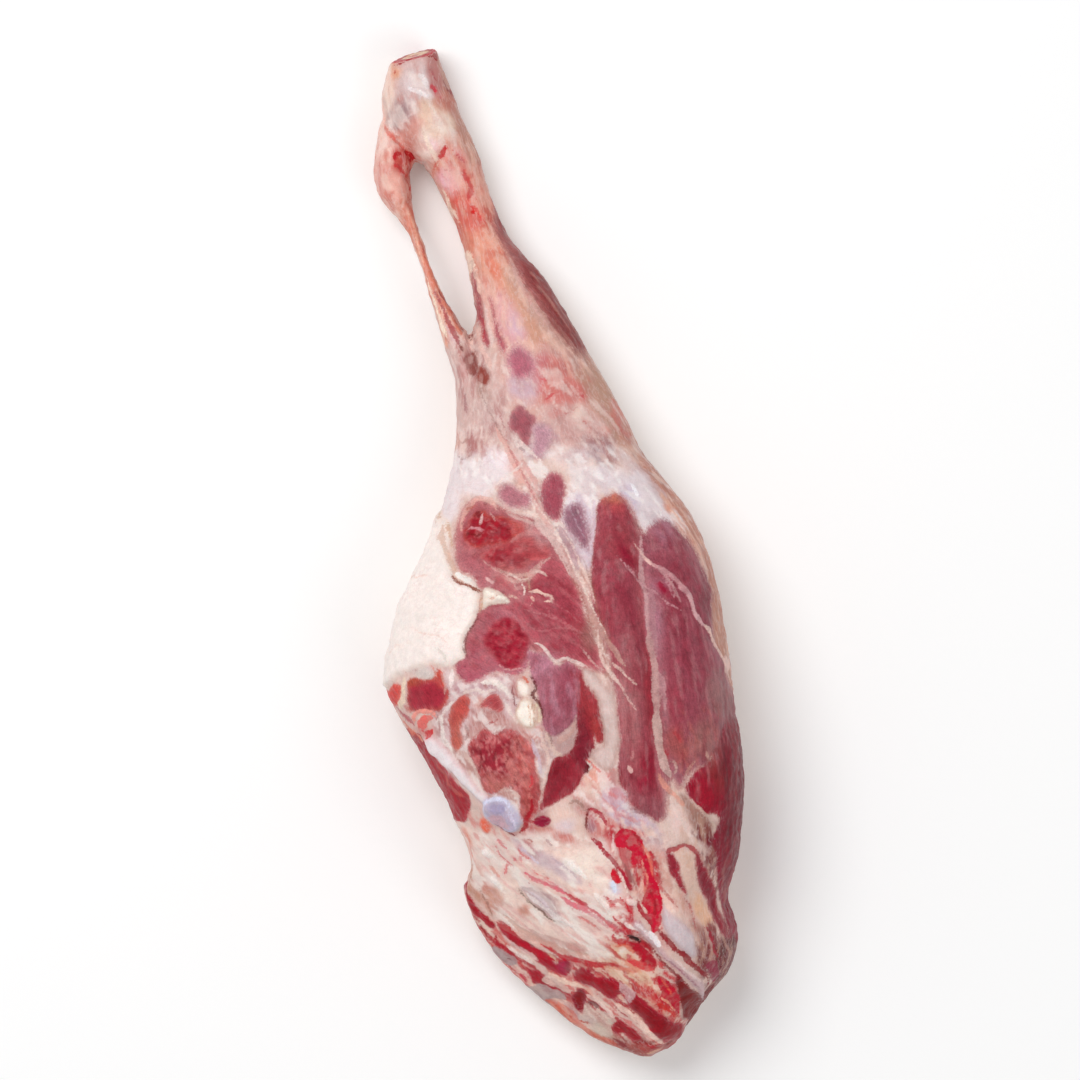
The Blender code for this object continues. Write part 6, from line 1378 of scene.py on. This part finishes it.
class Nodes:
    """Short ways to add and link shader nodes."""

    def __init__(self, material):
        self.tree = material.node_tree

    def feed(self, socket, value):
        """Links a socket to another node's output, or gives it a fixed value."""
        if isinstance(value, bpy.types.NodeSocket):
            self.tree.links.new(value, socket)
        else:
            socket.default_value = value

    def add(self, kind, inputs=None, **settings):
        node = self.tree.nodes.new(kind)
        for name, value in settings.items():
            setattr(node, name, value)
        for socket, value in (inputs or {}).items():
            self.feed(node.inputs[socket], value)
        return node

    def attribute(self, name):
        return self.add("ShaderNodeAttribute", attribute_name=name)

    def noise(self, place, scale, detail=3.0, rough=0.55):
        inputs = {"Vector": place, "Scale": scale, "Detail": detail, "Roughness": rough}
        return self.add("ShaderNodeTexNoise", inputs).outputs["Fac"]

    def math(self, operation, a, b=0.0, c=0.0):
        return self.add("ShaderNodeMath", {0: a, 1: b, 2: c}, operation=operation).outputs[0]

    def ramp(self, value, low, high, to_low=0.0, to_high=1.0):
        inputs = {"Value": value, "From Min": low, "From Max": high, "To Min": to_low, "To Max": to_high}
        return self.add("ShaderNodeMapRange", inputs, interpolation_type="SMOOTHSTEP").outputs[0]

    def ridges(self, value):
        """Thin lines, from 0 between them to 1 on them, along the middle values of a noise."""
        away = self.math("ABSOLUTE", self.math("SUBTRACT", value, 0.5))
        return self.ramp(away, 0.05, 0.0)

    def shaded(self, colour, *parts):
        """The colour made lighter and darker by noises of a mean near one half."""
        factor = 1.0
        for value, strength in parts:
            factor = self.math("MULTIPLY_ADD", self.math("SUBTRACT", value, 0.5), strength * 2, factor)
        return self.add("ShaderNodeVectorMath", {0: colour, "Scale": factor}, operation="SCALE").outputs[0]

    def mix(self, share, a, b):
        """Colour a turned into colour b by a share from 0 to 1."""
        mixer = self.add("ShaderNodeMix", data_type="RGBA")
        for place, value in zip((0, 6, 7), (share, a, b), strict=True):
            self.feed(mixer.inputs[place], value)
        return mixer.outputs[2]


def meat_material():
    """Lean and pale tissue with their grain, the marks over them, and a thin wet gloss."""
    film_tone, sinew_tone, vein_tone = (0.50, 0.25, 0.27, 1), (0.86, 0.72, 0.70, 1), (0.50, 0.12, 0.12, 1)
    material = bpy.data.materials.new("raw_meat")
    material.use_nodes = True
    nodes = Nodes(material)
    shader = material.node_tree.nodes["Principled BSDF"]
    place = nodes.add("ShaderNodeTexCoord").outputs["Object"]
    fibre_place = nodes.attribute("fibre_place").outputs["Vector"]

    edge = nodes.noise(place, 900, 3, 0.6)
    grain = nodes.noise(place, 1300, 2, 0.6)
    mottle = nodes.noise(place, 260, 4, 0.6)
    patch = nodes.noise(place, 60, 3)
    fibre = nodes.noise(fibre_place, 1500, 3, 0.6)
    strand = nodes.ridges(nodes.noise(fibre_place, 420, 2, 0.5))
    vein = nodes.ridges(nodes.noise(place, 170, 3, 0.55))

    depth = nodes.attribute("lean_depth").outputs["Fac"]
    rough_depth = nodes.math("MULTIPLY_ADD", nodes.math("SUBTRACT", edge, 0.5), 1.3, depth)
    rough_depth = nodes.math("MULTIPLY_ADD", strand, -0.3, rough_depth)
    in_lean = nodes.ramp(rough_depth, -0.8, 0.7)

    lean = nodes.attribute("lean_tone").outputs["Color"]
    lean = nodes.shaded(lean, (fibre, 0.45), (grain, 0.35), (mottle, 0.4))
    film = nodes.math("MULTIPLY", nodes.ramp(depth, 3.5, 0.0), nodes.ramp(strand, 0.2, 0.9, 0.03, 0.28))
    lean = nodes.mix(film, lean, film_tone)

    pale = nodes.attribute("pale_tone").outputs["Color"]
    pale = nodes.shaded(pale, (grain, 0.12), (mottle, 0.16), (patch, 0.12))
    pale = nodes.mix(nodes.math("MULTIPLY", strand, 0.22), pale, sinew_tone)
    blush = nodes.math("MULTIPLY", vein, nodes.ramp(patch, 0.42, 0.62, 0.02, 0.12))
    pale = nodes.mix(blush, pale, vein_tone)

    colour = nodes.mix(in_lean, pale, lean)
    for layer, wobble, bleed_and_shade in ((OVER, 1.8, 0.0), (DEEP, 2.2, 0.2), (THREAD, 1.4, 0.0)):
        mark = nodes.attribute(layer + "_tone")
        depth = nodes.attribute(layer + "_depth").outputs["Fac"]
        reach = nodes.math("MULTIPLY_ADD", nodes.math("SUBTRACT", edge, 0.5), wobble, depth)
        share = nodes.math("MULTIPLY", nodes.ramp(reach, -0.4, 0.35), nodes.ramp(mottle, 0.36, 0.56, 0.8))
        # deep marks bleed their colour out round their rim: a red haze round the blood marks, and a soft
        # painted shade round the dark creases
        if bleed_and_shade:
            uneven = nodes.ramp(mottle, 0.3, 0.7, 0.2, 1.4)
            around = nodes.math("MULTIPLY", nodes.ramp(reach, -2.6, 0.4), uneven)
            share = nodes.math("MAXIMUM", share, nodes.math("MULTIPLY", around, bleed_and_shade))
        share = nodes.math("MULTIPLY", share, mark.outputs["Alpha"])
        tone = nodes.shaded(mark.outputs["Color"], (grain, 0.3), (mottle, 0.35))
        colour = nodes.mix(share, colour, tone)

    height = nodes.math("MULTIPLY_ADD", fibre, 0.5, nodes.math("MULTIPLY_ADD", edge, 0.4, mottle))
    bump = nodes.add("ShaderNodeBump", {"Height": height, "Strength": 0.35, "Distance": 0.0006})
    wet_flesh = {
        "Base Color": colour,
        "Roughness": nodes.ramp(mottle, 0.35, 0.65, 0.30, 0.52),
        "Normal": bump.outputs["Normal"],
        "Subsurface Weight": 0.08,
        "Subsurface Radius": (1.0, 0.35, 0.25),
        "Subsurface Scale": 0.002,
        "Specular IOR Level": 0.15,
        "Coat Weight": 0.025,
        "Coat Roughness": 0.2,
    }
    for name, value in wet_flesh.items():
        nodes.feed(shader.inputs[name], value)
    return material


# ---------------------------------------------------------------- stage


def make_stage():
    """A plain white floor, just below the leg so that the two share no face."""
    half, drop = 4.0, 0.0005
    corners = [(-half, -half, 0), (half, -half, 0), (half, half, 0), (-half, half, 0)]
    floor_mesh = bpy.data.meshes.new("floor")
    floor_mesh.from_pydata(corners, [], [(0, 1, 2, 3)])
    floor = bpy.data.objects.new("floor", floor_mesh)
    floor.location.z = -drop
    bpy.context.scene.collection.objects.link(floor)
    white = bpy.data.materials.new("floor_white")
    white.use_nodes = True
    paper = white.node_tree.nodes["Principled BSDF"].inputs
    paper["Base Color"].default_value = (1, 1, 1, 1)
    paper["Roughness"].default_value = 0.9
    floor_mesh.materials.append(white)


def make_light(name, place, size, power):
    """A round soft light that points at the middle of the leg."""
    lamp = bpy.data.lights.new(name, "AREA")
    lamp.shape = "DISK"
    lamp.size = size
    lamp.energy = power
    lamp_object = bpy.data.objects.new(name, lamp)
    lamp_object.location = place
    lamp_object.rotation_euler = (-lamp_object.location).to_track_quat("-Z", "Y").to_euler()
    bpy.context.scene.collection.objects.link(lamp_object)


def make_lighting():
    """An even sky, a key light by the hock and a weak fill from the other side."""
    world = bpy.data.worlds.new("studio")
    world.use_nodes = True
    sky = world.node_tree.nodes["Background"].inputs
    sky["Color"].default_value = (1, 1, 1, 1)
    sky["Strength"].default_value = 0.48
    bpy.context.scene.world = world
    make_light("key", (-0.8, 0.8, 2.0), 1.5, 28.5)
    make_light("fill", (1.2, -0.8, 1.8), 1.5, 8)


def make_camera():
    """A long lens straight above the leg."""
    camera = bpy.data.cameras.new("camera")
    camera.lens = 400
    camera.sensor_width = 36
    view = bpy.data.objects.new("camera", camera)
    view.location = (-0.00875, 0.0055, 6.04)
    bpy.context.scene.collection.objects.link(view)
    bpy.context.scene.camera = view


skin = fine_skin("leg_of_lamb")
dress(skin)
skin.data.materials.append(meat_material())
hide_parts("leg_of_lamb")
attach(skin, "root")
make_stage()
make_lighting()
make_camera()
bpy.context.scene.view_settings.view_transform = "Standard"
